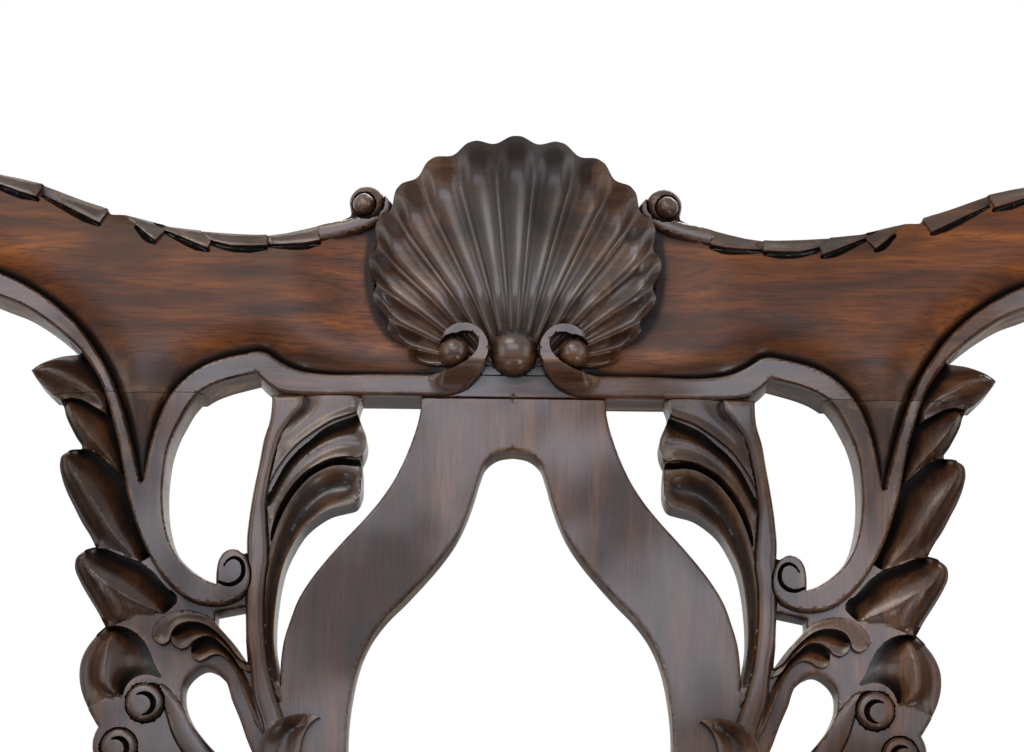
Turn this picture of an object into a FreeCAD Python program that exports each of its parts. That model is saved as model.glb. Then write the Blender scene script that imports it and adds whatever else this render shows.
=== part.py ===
import FreeCAD, Part
import math
import os
import re
import Sketcher
from FreeCAD import Placement, Rotation, Vector

# Driving dimensions in millimetres, angles in degrees
SIZES = {
    "seat_height": 440,
    "seat_depth": 450,
    "front_width": 540,
    "back_width": 410,
    "rail_height": 70,
    "rail_thick": 28,
    "rear_rail_thick": 40,
    "rail_setback": 2,
    "rebate_width": 14,
    "rebate_depth": 20,
    "tenon_thick": 10,
    "tenon_length": 22,
    "tenon_height": 34,
    "tenon_foot": 10,
    "rear_tenon_inset": 30,
    "fit_gap": 0.15,
    "stump": 46,
    "knee_drop": 40,
    "knee_width": 60,
    "knee_reach": 9,
    "ankle_height": 96,
    "ankle_width": 28,
    "ankle_reach": -2,
    "foot_reach": 11,
    "ball_radius": 32,
    "ball_flat": 3,
    "talon_radius": 8.5,
    "post_width": 38,
    "post_depth": 46,
    "post_top_width": 34,
    "post_top_depth": 25,
    "post_foot_width": 30,
    "post_foot_depth": 34,
    "post_spread": 224,
    "post_seat": 42,
    "post_tenon": 20,
    "stile_bow": 8,
    "stile_waist": 7,
    "rear_splay": 70,
    "rear_leg_spread": 6,
    "back_rake": 13,
    "joint_height": 912,
    "crest_width": 550,
    "crest_thick": 20,
    "ear_radius": 19,
    "ear_height": 66,
    "shell_width": 99.6,
    "shell_height": 90.5,
    "shell_hinge": 17.6,
    "shell_rise": 8,
    "band_rise": 4,
    "splat_thick": 15,
    "splat_base_width": 132,
    "waist_width": 92,
    "splat_tongue": 14,
    "shoe_height": 36,
    "shoe_depth": 30,
    "shoe_width": 176,
    "shoe_floor": 8,
    "block_leg": 46,
    "block_foot": 8,
    "knee_block_length": 58,
    "knee_block_drop": 52,
    "knee_block_nose": 9,
    "knee_block_hollow": 75,
    "screw_radius": 2,
    "screw_bite": 16,
    "slip_width": 55,
    "slip_gap": 2.4,
    "rest_gap": 0.3,
    "cover_thick": 1.6,
    "web_width": 50,
    "web_thick": 1.6,
    "cloth_thick": 1,
    "pad_edge": 12,
    "pad_crown": 28,
    "pad_draw": 9,
}

# Sizes that follow from the driving ones
DERIVED = {
    "half_front": "front_width / 2",
    "half_back": "back_width / 2",
    "rail_bottom": "seat_height - rail_height",
    "ledge": "seat_height - rebate_depth",
    "knee_height": "rail_bottom - knee_drop",
    "rail_inset": "rail_thick - rebate_width",
    "front_wall": "rail_setback + rail_inset",
    "front_inner": "rail_setback + rail_thick",
    "post_front": "seat_depth - post_depth",
    "tenon_bottom": "rail_bottom + tenon_foot",
    "tenon_top": "tenon_bottom + tenon_height",
    "stump_inner": "half_front - stump",
    "post_inner": "half_back - post_width",
    "side_slope": "(half_front - half_back) / (post_front - stump)",
    "stump_x": "half_front - stump / 2",
    "stump_y": "stump / 2",
    "post_x": "half_back - post_width / 2",
    "post_y": "seat_depth - post_depth / 2",
    "rake_sin": "sin(back_rake)",
    "rake_cos": "cos(back_rake)",
    "shoe_back": "post_front + rear_rail_thick",
    "shoe_middle": "shoe_back - shoe_depth / 2",
    "shoe_centre_height": "seat_height + shoe_height / 2",
    "joint_y": "shoe_middle + (joint_height - shoe_centre_height) * rake_sin / rake_cos"
               " - splat_thick / 2 / rake_cos",
    "splat_drop": "(joint_height - seat_height - shoe_floor - splat_thick * rake_sin) / rake_cos",
    "post_top_y": "joint_y + post_seat * rake_sin + crest_thick / 2 * rake_cos",
    "post_top_z": "joint_height + post_seat * rake_cos - crest_thick / 2 * rake_sin",
    "ball_height": "ball_radius - ball_flat",
    "foot_x": "stump_x + foot_reach / sqrt(2)",
    "foot_y": "stump_y - foot_reach / sqrt(2)",
    "rearmost": "joint_y + shell_height * rake_sin + crest_thick * rake_cos",
    "middle_y": "(rearmost + foot_y - ball_radius) / 2",
    "slip_bottom": "ledge + rest_gap",
    "slip_thick": "rebate_depth - rest_gap",
    "slip_front": "front_wall + slip_gap",
    "slip_rear": "post_front - slip_gap",
    "slip_inset": "rail_inset + slip_gap",
    "web_long_bottom": "seat_height + fit_gap",
    "web_cross_bottom": "web_long_bottom + web_thick + fit_gap",
    "cloth_bottom": "web_cross_bottom + web_thick + fit_gap",
    "pad_bottom": "cloth_bottom + cloth_thick + fit_gap",
}

doc = FreeCAD.newDocument("chair")
sheet = doc.addObject("Spreadsheet::Sheet", "sizes")
for row, (name, number) in enumerate(SIZES.items(), start=1):
    sheet.set(f"A{row}", name)
    sheet.set(f"B{row}", str(number))
    sheet.setAlias(f"B{row}", name)
doc.recompute()

nodes = []


def formula(text):
    """Write a formula in size names as an expression on the sheet."""
    def swap(match):
        word = match.group(0)
        if word in SIZES:
            return "sizes." + word
        if word in DERIVED:
            return "(" + formula(DERIVED[word]) + ")"
        return word
    return re.sub(r"[a-z_]+[a-z_0-9]*", swap, str(text))


def value(text):
    return float(sheet.evalExpression(formula(text)))


def bind(thing, prop, text):
    thing.setExpression(prop, formula(text))


def side_x(y, inset):
    """X of a line parallel to the right rail's outer face, `inset` inside it, at depth y."""
    return f"(half_front - rail_setback - ({inset}) - side_slope * (({y}) - stump))"


# Bodies, sketches and features

def new_body(label):
    body = doc.addObject("PartDesign::Body", label)
    body.Label = label
    bind(body, "Placement.Base.y", "-middle_y")
    nodes.append(body)
    return body


def new_sketch(body, at=("0", "0", "0"), role="XY_Plane"):
    sketch = body.newObject("Sketcher::SketchObject", body.Label + "_sketch")
    plane = next(item for item in body.Origin.OriginFeatures if item.Role == role)
    sketch.AttachmentSupport = [(plane, "")]
    sketch.MapMode = "FlatFace"
    for axis, text in zip("xyz", at):
        bind(sketch, f"AttachmentOffset.Base.{axis}", text)
    return sketch


def measure(sketch, kind, text, *ends):
    number = sketch.addConstraint(Sketcher.Constraint(kind, *ends, value(text)))
    bind(sketch, f"Constraints[{number}]", text)


def pin(sketch, edge, end, x, y):
    measure(sketch, "DistanceX", x, -1, 1, edge, end)
    measure(sketch, "DistanceY", y, -1, 1, edge, end)


def polygon(sketch, corners):
    points = [Vector(value(x), value(y), 0) for x, y in corners]
    count = len(points)
    for i in range(count):
        sketch.addGeometry(Part.LineSegment(points[i], points[(i + 1) % count]))
    for i in range(count):
        sketch.addConstraint(Sketcher.Constraint("Coincident", i, 2, (i + 1) % count, 1))
    for i, (x, y) in enumerate(corners):
        pin(sketch, i, 1, x, y)
    return sketch


def rectangle(sketch, x0, y0, x1, y1):
    return polygon(sketch, [(x0, y0), (x1, y0), (x1, y1), (x0, y1)])


def centred_rectangle(sketch, wide, deep):
    return rectangle(sketch, f"-({wide}) / 2", f"-({deep}) / 2", f"({wide}) / 2", f"({deep}) / 2")


def eight_sided(sketch, side, corner):
    """Square of the given side about the sketch origin, its corners cut back by `corner` along each side."""
    half = f"({side}) / 2"
    flat_half = f"(({side}) / 2 - ({corner}))"
    return polygon(sketch, [(half, f"-{flat_half}"), (half, flat_half), (flat_half, half), (f"-{flat_half}", half),
                            (f"-({half})", flat_half), (f"-({half})", f"-{flat_half}"),
                            (f"-{flat_half}", f"-({half})"), (flat_half, f"-({half})")])


def pad(body, sketch, length):
    feature = body.newObject("PartDesign::Pad", body.Label + "_pad")
    feature.Profile = sketch
    bind(feature, "Length", length)
    return feature


def pocket(body, sketch, length, upward=False):
    feature = body.newObject("PartDesign::Pocket", body.Label + "_pocket")
    feature.Profile = sketch
    feature.Reversed = upward
    bind(feature, "Length", length)
    return feature


def loft(body, sections):
    feature = body.newObject("PartDesign::AdditiveLoft", body.Label + "_loft")
    feature.Profile = sections[0]
    feature.Sections = sections[1:]
    return feature


def prism(body, corners, bottom, top):
    """Pad a plan outline between two heights."""
    return pad(body, polygon(new_sketch(body, ("0", "0", bottom)), corners), f"{top} - ({bottom})")


def mortise(body, corners, bottom, top):
    """Sink a plan outline from one height down to another."""
    return pocket(body, polygon(new_sketch(body, ("0", "0", top)), corners), f"{top} - ({bottom})")


def box_corners(x0, y0, x1, y1):
    return [(x0, y0), (x1, y0), (x1, y1), (x0, y1)]


def side_strip(front, rear, outer, inner):
    """Plan outline of a strip that runs along the right rail."""
    return [(side_x(front, outer), front), (side_x(rear, outer), rear),
            (side_x(rear, inner), rear), (side_x(front, inner), front)]


def mirrored(source, label):
    copy = doc.addObject("Part::Mirroring", label)
    copy.Label = label
    copy.Source = source
    copy.Normal = Vector(1, 0, 0)
    nodes.append(copy)
    return copy


def without(base, tool, label):
    """Node made of `base` with `tool` taken away."""
    cut = doc.addObject("Part::Cut", label)
    base.Label = label + "_blank"
    cut.Label = label
    cut.Base = base
    cut.Tool = tool
    nodes[nodes.index(base)] = cut
    return cut


# Tenons of the right side rail: one tongue through the whole rail

TENON_IN = "(rail_thick - tenon_thick) / 2"
TENON_OUT = "(rail_thick + tenon_thick) / 2"
FRONT_TENON_Y = "rail_setback + rail_thick / 2"
REAR_TENON_Y = "post_front + rear_tenon_inset"
OVERRUN = 2

side_front_tip = "stump - tenon_length"
side_rear_tip = "post_front + tenon_length"
side_mortise = side_strip(f"{side_front_tip} - fit_gap", f"{side_rear_tip} + fit_gap",
                          f"{TENON_IN} - fit_gap", f"{TENON_OUT} + fit_gap")
mortise_bottom = "tenon_bottom - fit_gap"
mortise_top = "tenon_top + fit_gap"


# Right front leg: stump, cabriole shaft, ball and talons

leg = new_body("right_front_leg")
prism(leg, box_corners("stump_inner", "0", "half_front", "stump"), "rail_bottom", "seat_height")


def leg_section(height, reach, side, corner_share):
    spot = (f"stump_x + ({reach}) / sqrt(2)", f"stump_y - ({reach}) / sqrt(2)", height)
    return eight_sided(new_sketch(leg, spot), side, f"({side}) * {corner_share}")


loft(leg, [
    leg_section("rail_bottom", "0", "stump", 0.04),
    leg_section("knee_height", "knee_reach", "knee_width", 0.16),
    leg_section("knee_height * 0.55 + ankle_height * 0.45", "knee_reach * 0.4 + ankle_reach * 0.6",
                "knee_width * 0.5 + ankle_width * 0.42", 0.22),
    leg_section("ankle_height", "ankle_reach", "ankle_width", 0.28),
    leg_section("ball_height + ball_radius * 0.8", "foot_reach * 0.75", "ankle_width * 1.3", 0.28),
])

ball = new_sketch(leg, ("foot_x", "0", "-(foot_y)"), "XZ_Plane")
ball_start = -math.asin(value("ball_height / ball_radius"))
ball_circle = Part.Circle(Vector(0, value("ball_height"), 0), Vector(0, 0, 1), value("ball_radius"))
ball.addGeometry(Part.ArcOfCircle(ball_circle, ball_start, math.pi / 2))
base_radius = value("ball_radius") * math.cos(ball_start)
ball.addGeometry(Part.LineSegment(Vector(0, value("ball_height + ball_radius"), 0), Vector(0, 0, 0)))
ball.addGeometry(Part.LineSegment(Vector(0, 0, 0), Vector(base_radius, 0, 0)))
for first, second in ((0, 1), (1, 2)):
    ball.addConstraint(Sketcher.Constraint("Coincident", first, 2, second, 1))
ball.addConstraint(Sketcher.Constraint("Coincident", 2, 2, 0, 1))
ball.addConstraint(Sketcher.Constraint("Coincident", 1, 2, -1, 1))
ball.addConstraint(Sketcher.Constraint("Horizontal", 2))
ball.addConstraint(Sketcher.Constraint("PointOnObject", 0, 3, -2))
measure(ball, "DistanceY", "ball_height", -1, 1, 0, 3)
measure(ball, "Radius", "ball_radius", 0)
ball.addConstraint(Sketcher.Constraint("PointOnObject", 0, 2, -2))
revolution = leg.newObject("PartDesign::Revolution", "ball_turning")
revolution.Profile = ball
revolution.ReferenceAxis = (ball, ["V_Axis"])

# Each talon section: angle from the top of the ball, thickness as a share of the talon radius
talon_sections = []
for polar, share in ((26, 1.15), (58, 0.95), (80, 1.1), (102, 0.8), (124, 0.4)):
    out = f"ball_radius * {math.sin(math.radians(polar)) / math.sqrt(2):.4f}"
    up = f"ball_radius * {math.cos(math.radians(polar)):.4f}"
    spot = (f"foot_x + {out}", f"foot_y - {out}", f"ball_height + {up}")
    section = new_sketch(leg, spot)
    section.AttachmentOffset = Placement(Vector(*[value(text) for text in spot]),
                                         Rotation(Vector(1, 1, 0), 90 + polar))
    eight_sided(section, f"talon_radius * {2 * share}", f"talon_radius * {0.55 * share}")
    talon_sections.append(section)
talon = loft(leg, talon_sections)
talon.Ruled = True
doc.recompute()
claws = leg.newObject("PartDesign::PolarPattern", "claws")
claws.Originals = [talon]
claws.Axis = (ball, ["V_Axis"])
claws.Angle = 360
claws.Occurrences = 4
leg.Tip = claws

mortise(leg, [(f"stump_inner - {OVERRUN}", "front_wall"), (side_x("front_wall", "rail_inset"), "front_wall"),
              (side_x(f"stump + {OVERRUN}", "rail_inset"), f"stump + {OVERRUN}"),
              (f"stump_inner - {OVERRUN}", f"stump + {OVERRUN}")], "ledge", "seat_height")
mortise(leg, box_corners(f"stump_inner - {OVERRUN}", f"{FRONT_TENON_Y} - tenon_thick / 2 - fit_gap",
                         "stump_inner + tenon_length + fit_gap",
                         f"{FRONT_TENON_Y} + tenon_thick / 2 + fit_gap"), mortise_bottom, mortise_top)
mortise(leg, side_mortise, mortise_bottom, mortise_top)


# Right rear post: block at the seat, splayed leg below, raked stile above

post = new_body("right_rear_post")
prism(post, box_corners("post_inner", "post_front", "half_back", "seat_depth"), "rail_bottom", "seat_height")


def post_section(spot, wide, deep, tilt="0"):
    section = new_sketch(post, spot)
    section.AttachmentOffset = Placement(Vector(*[value(text) for text in spot]),
                                         Rotation(Vector(-1, 0, 0), value(tilt)))
    if tilt != "0":
        bind(section, "AttachmentOffset.Rotation.Angle", tilt)
    return centred_rectangle(section, wide, deep)


def leg_spot(share):
    curve = share ** 1.7
    return (f"post_x + rear_leg_spread * {curve:.4f}", f"post_y + rear_splay * {curve:.4f}",
            f"rail_bottom * {1 - share:.4f}")


def stile_spot(share):
    bulge = math.sin(math.pi * share)
    return (f"post_x + (post_spread - post_x) * {share} - stile_waist * {bulge:.4f}",
            f"post_y + (post_top_y - post_y) * {share} - stile_bow * {bulge:.4f}",
            f"seat_height + (post_top_z - seat_height) * {share}")


def between(low, high, share):
    return f"{low} + ({high} - {low}) * {share}"


loft(post, [post_section(leg_spot(share), between("post_width", "post_foot_width", share),
                         between("post_depth", "post_foot_depth", share)) for share in (0, 0.45, 1)])
loft(post, [post_section(stile_spot(share), between("post_width", "post_top_width", share),
                         between("post_depth", "post_top_depth", share), f"back_rake * {share}" if share else "0")
            for share in (0, 0.3, 0.65, 1)])
pad(post, post_section(stile_spot(1), "post_top_width / 2", "tenon_thick", "back_rake"), "post_tenon")
mortise(post, side_mortise, mortise_bottom, mortise_top)
mortise(post, box_corners(f"post_inner - {OVERRUN}", f"{REAR_TENON_Y} - tenon_thick / 2 - fit_gap",
                          "post_inner + tenon_length + fit_gap",
                          f"{REAR_TENON_Y} + tenon_thick / 2 + fit_gap"), mortise_bottom, mortise_top)


# Seat rails

front_rail = new_body("front_seat_rail")
prism(front_rail, box_corners("-(stump_inner)", "rail_setback", "stump_inner", "front_inner"),
      "rail_bottom", "seat_height")
prism(front_rail, box_corners("-(stump_inner + tenon_length)", f"{FRONT_TENON_Y} - tenon_thick / 2",
                              "stump_inner + tenon_length", f"{FRONT_TENON_Y} + tenon_thick / 2"),
      "tenon_bottom", "tenon_top")
mortise(front_rail, box_corners(f"-(stump_inner + {OVERRUN})", "front_wall",
                                f"stump_inner + {OVERRUN}", f"front_inner + {OVERRUN}"), "ledge", "seat_height")

side_rail = new_body("right_seat_rail")
prism(side_rail, side_strip("stump", "post_front", "0", "rail_thick"), "rail_bottom", "seat_height")
prism(side_rail, side_strip(side_front_tip, side_rear_tip, TENON_IN, TENON_OUT), "tenon_bottom", "tenon_top")
mortise(side_rail, side_strip(f"stump - {OVERRUN}", f"post_front + {OVERRUN}", "rail_inset",
                              f"rail_thick + {OVERRUN}"), "ledge", "seat_height")

rear_rail = new_body("rear_seat_rail")
prism(rear_rail, box_corners("-(post_inner)", "post_front", "post_inner", "shoe_back"),
      "rail_bottom", "seat_height")
prism(rear_rail, box_corners("-(post_inner + tenon_length)", f"{REAR_TENON_Y} - tenon_thick / 2",
                             "post_inner + tenon_length", f"{REAR_TENON_Y} + tenon_thick / 2"),
      "tenon_bottom", "tenon_top")


# Shoe on the rear rail: front outline with hollow ends, raked slot for the splat

shoe = new_body("splat_shoe")
shoe_sketch = new_sketch(shoe, ("0", "seat_height", "-(shoe_back)"), "XZ_Plane")
shoe_top = "splat_base_width / 2 + 8"
shoe_lip = "shoe_height / 6"
outline = [("-(shoe_width) / 2", "0"), ("shoe_width / 2", "0"), ("shoe_width / 2", shoe_lip),
           (shoe_top, "shoe_height"), (f"-({shoe_top})", "shoe_height"), ("-(shoe_width) / 2", shoe_lip)]
polygon(shoe_sketch, outline)
pad(shoe, shoe_sketch, "shoe_depth")
slot_sketch = new_sketch(shoe, ("0", "0", "-(splat_base_width / 2 + fit_gap)"), "YZ_Plane")
slot_half = "(splat_thick / 2 + fit_gap) / rake_cos"


def slot_corner(side, height):
    return (f"shoe_middle + ({height} - shoe_centre_height) * rake_sin / rake_cos {side} {slot_half}", height)


slot_low = "seat_height + shoe_floor - fit_gap"
slot_high = f"seat_height + shoe_height + {OVERRUN}"
polygon(slot_sketch, [slot_corner("-", slot_low), slot_corner("+", slot_low),
                      slot_corner("+", slot_high), slot_corner("-", slot_high)])
pocket(shoe, slot_sketch, "splat_base_width + 2 * fit_gap", upward=True)


# Glue blocks in the corners of the seat frame

front_block = new_body("right_front_corner_block")
front_block_rear = "stump + block_leg"
prism(front_block, [("stump_inner - block_leg", "front_inner"), ("stump_inner", "front_inner"),
                    ("stump_inner", "stump"), (side_x("stump", "rail_thick"), "stump"),
                    (side_x(front_block_rear, "rail_thick"), front_block_rear)],
      "rail_bottom + block_foot", "ledge")

rear_block = new_body("right_rear_corner_block")
rear_block_front = "post_front - block_leg"
prism(rear_block, [(side_x(rear_block_front, "rail_thick"), rear_block_front),
                   (side_x("post_front", "rail_thick"), "post_front"),
                   ("post_inner - block_leg", "post_front")],
      "rail_bottom + block_foot", "ledge")


# Wood screws through the glue blocks into the rails, four on each side

SCREW_HEAD_RADIUS = 4.2
SCREW_HEAD_DEPTH = 2.6
SCREW_SINK = 5
screw_height = value("(rail_bottom + block_foot + ledge) / 2")


def plan_point(x, y):
    return Vector(value(x), value(y), screw_height)


def screw_lines():
    """Start on a block's long face, direction and length of each right-hand screw."""
    slope = value("side_slope")
    outward = Vector(1, slope, 0).normalize()
    front_a = plan_point("stump_inner - block_leg", "front_inner")
    front_b = plan_point(side_x(front_block_rear, "rail_thick"), front_block_rear)
    rear_a = plan_point("post_inner - block_leg", "post_front")
    rear_b = plan_point(side_x(rear_block_front, "rail_thick"), rear_block_front)
    rail_line = plan_point(side_x("stump", "rail_thick"), "stump")
    bite = value("screw_bite")
    for near, far, along, wall in ((front_a, front_b, Vector(0, -1, 0), value("front_inner")),
                                   (rear_a, rear_b, Vector(0, 1, 0), value("post_front"))):
        start = near + (far - near) * 0.36
        yield start, along, abs(wall - start.y) + bite
        start = near + (far - near) * 0.68
        yield start, outward, (rail_line - start).dot(outward) + bite


def eight_sided_rod(radius, length, start, along):
    across = along.cross(Vector(0, 0, 1))
    corners = []
    for turn in range(9):
        angle = math.radians(45 * turn)
        corners.append(start + (across * math.cos(angle) + Vector(0, 0, math.sin(angle))) * radius)
    return Part.Face(Part.makePolygon(corners)).extrude(along * length)


def screw_group(gap, bore):
    """All screws, or with a gap and a bore length the holes they sit in."""
    group = []
    radius = value("screw_radius") + gap
    for start, along, length in screw_lines():
        head = start + along * SCREW_SINK
        shank = eight_sided_rod(radius, length - SCREW_SINK + gap, head, along)
        cap = eight_sided_rod(SCREW_HEAD_RADIUS + gap, SCREW_HEAD_DEPTH + bore, head - along * bore, along)
        screw = shank.fuse(cap).removeSplitter().Solids[0]
        group.append(screw)
        group.append(screw.mirror(Vector(0, 0, 0), Vector(1, 0, 0)))
    return Part.makeCompound(group)


def made(label, shape, placement=None, node=True):
    """Piece whose shape is worked out here from the sheet."""
    feature = doc.addObject("Part::Feature", label)
    feature.Label = label
    feature.Shape = shape
    if placement is None:
        placement = Placement(Vector(0, -value("middle_y"), 0), Rotation())
    feature.Placement = placement
    if node:
        nodes.append(feature)
    return feature


made("corner_block_screws", screw_group(0, 0))
screw_holes = made("screw_holes", screw_group(value("fit_gap"), 18), node=False)
front_rail = without(front_rail, screw_holes, "front_seat_rail")
rear_rail = without(rear_rail, screw_holes, "rear_seat_rail")
side_rail = without(side_rail, screw_holes, "right_seat_rail")
front_block = without(front_block, screw_holes, "right_front_corner_block")
rear_block = without(rear_block, screw_holes, "right_rear_corner_block")


# Knee blocks: scrolled brackets under the rails, fitted to the leg

for piece, name in ((leg, "left_front_leg"), (post, "left_rear_post"), (side_rail, "left_seat_rail"),
                    (front_block, "left_front_corner_block"), (rear_block, "left_rear_corner_block")):
    mirrored(piece, name)
left_leg = next(node for node in nodes if node.Label == "left_front_leg")


def bracket(body, sketch, thick):
    """Bracket outline: level top, upright ends, hollow lower edge."""
    length = value("knee_block_length")
    nose = Vector(length, value("-(knee_block_nose)"), 0)
    foot = Vector(0, value("-(knee_block_drop)"), 0)
    hollow = Vector(length * 0.4, value("-(knee_block_drop)") * 0.4, 0)
    sketch.addGeometry(Part.LineSegment(Vector(0, 0, 0), Vector(length, 0, 0)))
    sketch.addGeometry(Part.LineSegment(Vector(length, 0, 0), nose))
    sketch.addGeometry(Part.Arc(nose, hollow, foot))
    sketch.addGeometry(Part.LineSegment(foot, Vector(0, 0, 0)))
    for first in range(4):
        sketch.addConstraint(Sketcher.Constraint("Coincident", first, 2, (first + 1) % 4, 1))
    pin(sketch, 0, 1, "0", "0")
    pin(sketch, 1, 1, "knee_block_length", "0")
    pin(sketch, 2, 1, "knee_block_length", "-(knee_block_nose)")
    pin(sketch, 3, 1, "0", "-(knee_block_drop)")
    measure(sketch, "Radius", "knee_block_hollow", 2)
    return pad(body, sketch, thick)


front_knee = new_body("left_front_knee_block")
knee_root = "stump / 3"
bracket(front_knee, new_sketch(front_knee, (f"-(stump_inner + {knee_root})", "rail_bottom", "-(front_inner)"),
                               "XZ_Plane"), "rail_thick")
front_knee = without(front_knee, left_leg, "left_front_knee_block")
mirrored(front_knee, "right_front_knee_block")

side_knee = new_body("right_side_knee_block")
side_root = "stump - stump / 7"
knee_spot = (side_root, "rail_bottom", side_x(side_root, "rail_thick"))
knee_sketch = new_sketch(side_knee, knee_spot, "YZ_Plane")
knee_sketch.AttachmentOffset = Placement(Vector(*[value(text) for text in knee_spot]),
                                         Rotation(Vector(0, 1, 0), value("atan(side_slope)")))
bind(knee_sketch, "AttachmentOffset.Rotation.Angle", "atan(side_slope)")
bracket(side_knee, knee_sketch, "rail_thick * cos(atan(side_slope))")
side_knee = without(side_knee, leg, "right_side_knee_block")
mirrored(side_knee, "left_side_knee_block")


# Loose frame of the drop-in seat, half-lapped at the corners

slip_middle = "slip_bottom + slip_thick / 2"
slip_inner = "slip_inset + slip_width"


def lap(front, rear):
    """Plan outline of the right corner where a cross piece and a side piece lap."""
    return side_strip(f"({front}) - fit_gap", f"({rear}) + fit_gap", f"slip_inset - {OVERRUN}",
                      f"{slip_inner} + fit_gap")


def flipped(corners):
    return [(f"-({x})", y) for x, y in corners]


def slip_cross_rail(label, front, rear):
    body = new_body(label)
    right = side_strip(front, rear, "slip_inset", slip_inner)
    prism(body, [right[0], right[1], flipped(right)[1], flipped(right)[0]], "slip_bottom", "seat_height")
    mortise(body, lap(front, rear), f"{slip_middle} - fit_gap / 2", "seat_height")
    mortise(body, flipped(lap(front, rear)), f"{slip_middle} - fit_gap / 2", "seat_height")


slip_cross_rail("slip_front_rail", "slip_front", "slip_front + slip_width")
slip_cross_rail("slip_rear_rail", "slip_rear - slip_width", "slip_rear")
slip_side = new_body("slip_right_rail")
prism(slip_side, side_strip("slip_front", "slip_rear", "slip_inset", slip_inner), "slip_bottom", "seat_height")
for front, rear in (("slip_front", "slip_front + slip_width"), ("slip_rear - slip_width", "slip_rear")):
    mortise(slip_side, lap(front, rear), f"slip_bottom - {OVERRUN}", f"{slip_middle} + fit_gap / 2")
mirrored(slip_side, "slip_left_rail")


# Webbing strips, base cloth, stuffing and cover of the seat

WEB_COUNT = 4
WEB_INSET = 10


def strips(label, rows):
    """Group of flat strips, each given by its corner, size along X and size along Y."""
    group = []
    for number, (x, y, z, wide, deep) in enumerate(rows):
        strip = doc.addObject("Part::Box", f"{label}_{number}")
        bind(strip, "Length", wide)
        bind(strip, "Width", deep)
        bind(strip, "Height", "web_thick")
        bind(strip, "Placement.Base.x", x)
        bind(strip, "Placement.Base.y", f"{y} - middle_y")
        bind(strip, "Placement.Base.z", z)
        group.append(strip)
    compound = doc.addObject("Part::Compound", label)
    compound.Label = label
    compound.Links = group
    nodes.append(compound)


web_front = f"slip_front + {WEB_INSET}"
web_rear = f"slip_rear - {WEB_INSET}"
web_side = side_x("slip_rear", f"slip_inset + {WEB_INSET}")
long_rows = []
cross_rows = []
for number in range(WEB_COUNT):
    share = (number + 0.5) / WEB_COUNT
    x = f"(2 * {share} - 1) * {web_side} - web_width / 2"
    long_rows.append((x, web_front, "web_long_bottom", "web_width", f"{web_rear} - ({web_front})"))
    y = f"{web_front} + ({web_rear} - ({web_front})) * {share} - web_width / 2"
    reach = side_x(f"{y} + web_width", f"slip_inset + {WEB_INSET}")
    cross_rows.append((f"-{reach}", y, "web_cross_bottom", f"2 * {reach}", "web_width"))
strips("webbing_long", long_rows)
strips("webbing_cross", cross_rows)

cloth = new_body("base_cloth")
cloth_right = side_strip("slip_front", "slip_rear", "slip_inset", slip_inner)
prism(cloth, [cloth_right[0], cloth_right[1], flipped(cloth_right)[1], flipped(cloth_right)[0]],
      "cloth_bottom", "cloth_bottom + cloth_thick")


def seat_outline(inset, height):
    """Closed outline of the seat at a height, drawn in by `inset` on every side."""
    front = value("slip_front") + inset
    rear = value("slip_rear") - inset
    front_half = value(side_x(front, "slip_inset")) - inset
    rear_half = value(side_x(rear, "slip_inset")) - inset
    return Part.makePolygon([Vector(x, y, height) for x, y in ((-front_half, front), (front_half, front),
                             (rear_half, rear), (-rear_half, rear), (-front_half, front))])


def crowned(grow, bottom):
    """Seat pad with drawn-in sides and a domed top, grown outwards by `grow`."""
    top = value("pad_bottom + pad_crown") + grow
    outlines = [seat_outline(-grow, value("pad_bottom")), seat_outline(value("pad_draw") - grow, top)]
    if bottom < value("pad_bottom"):
        outlines.insert(0, seat_outline(-grow, bottom))
    block = Part.makeLoft(outlines, True, True)
    reach = math.hypot(value("front_width"), value("seat_depth")) / 2
    rise = value("pad_crown - pad_edge")
    radius = (reach ** 2 + rise ** 2) / (2 * rise)
    middle = value("(slip_front + slip_rear) / 2")
    dome = Part.makeSphere(radius, Vector(0, middle, top - radius), Vector(1, 0, 0))
    return block.common(dome).Solids[0]


skin_gap = value("fit_gap")
made("seat_stuffing", crowned(0, value("pad_bottom")))
cover = crowned(value("cover_thick") + skin_gap, value("slip_bottom"))
made("seat_cover", cover.cut(crowned(skin_gap, value("slip_bottom") - OVERRUN)))


# Carved back: drawn flat, x across and y up from the joint between crest and splat, z to the front.
# The drawing is made for one crest width and one splat length, and is scaled to the real ones.

DRAWN_WIDTH = 550
DRAWN_DROP = 472.7
CARVED_DROP = 127.5
ARC_FIT = 0.2
scale = value("crest_width") / DRAWN_WIDTH


def drawn(text):
    """A real size in the units of the drawing."""
    return value(text) / scale


stretch = (drawn("splat_drop") - CARVED_DROP) / (DRAWN_DROP - CARVED_DROP)


def lengthened(points):
    """Points of the splat, those below the carving moved down with its real length."""
    return [(x, max(y, -CARVED_DROP) + min(y + CARVED_DROP, 0) * stretch) for x, y in points]


def flat(point):
    return Vector(point[0], point[1], 0)



def curve(points):
    """Smooth line through the points, as a chain of arcs."""
    spline = Part.BSplineCurve()
    spline.interpolate([flat(point) for point in points])
    return [arc.toShape() for arc in spline.toBiArcs(ARC_FIT)]


def straight(points):
    return [Part.makeLine(flat(a), flat(b)) for a, b in zip(points, points[1:])]


def face_of(edges):
    return Part.Face(Part.Wire(Part.sortEdges(edges)[0]))


def other_side(shape):
    return shape.mirror(Vector(0, 0, 0), Vector(1, 0, 0))


def both(shapes):
    return list(shapes) + [other_side(shape) for shape in shapes]


def slab(face, back, front):
    lifted = face.copy()
    lifted.translate(Vector(0, 0, back))
    return lifted.extrude(Vector(0, 0, front - back))


def joined(shapes):
    return shapes[0].multiFuse(shapes[1:]).removeSplitter()


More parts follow.
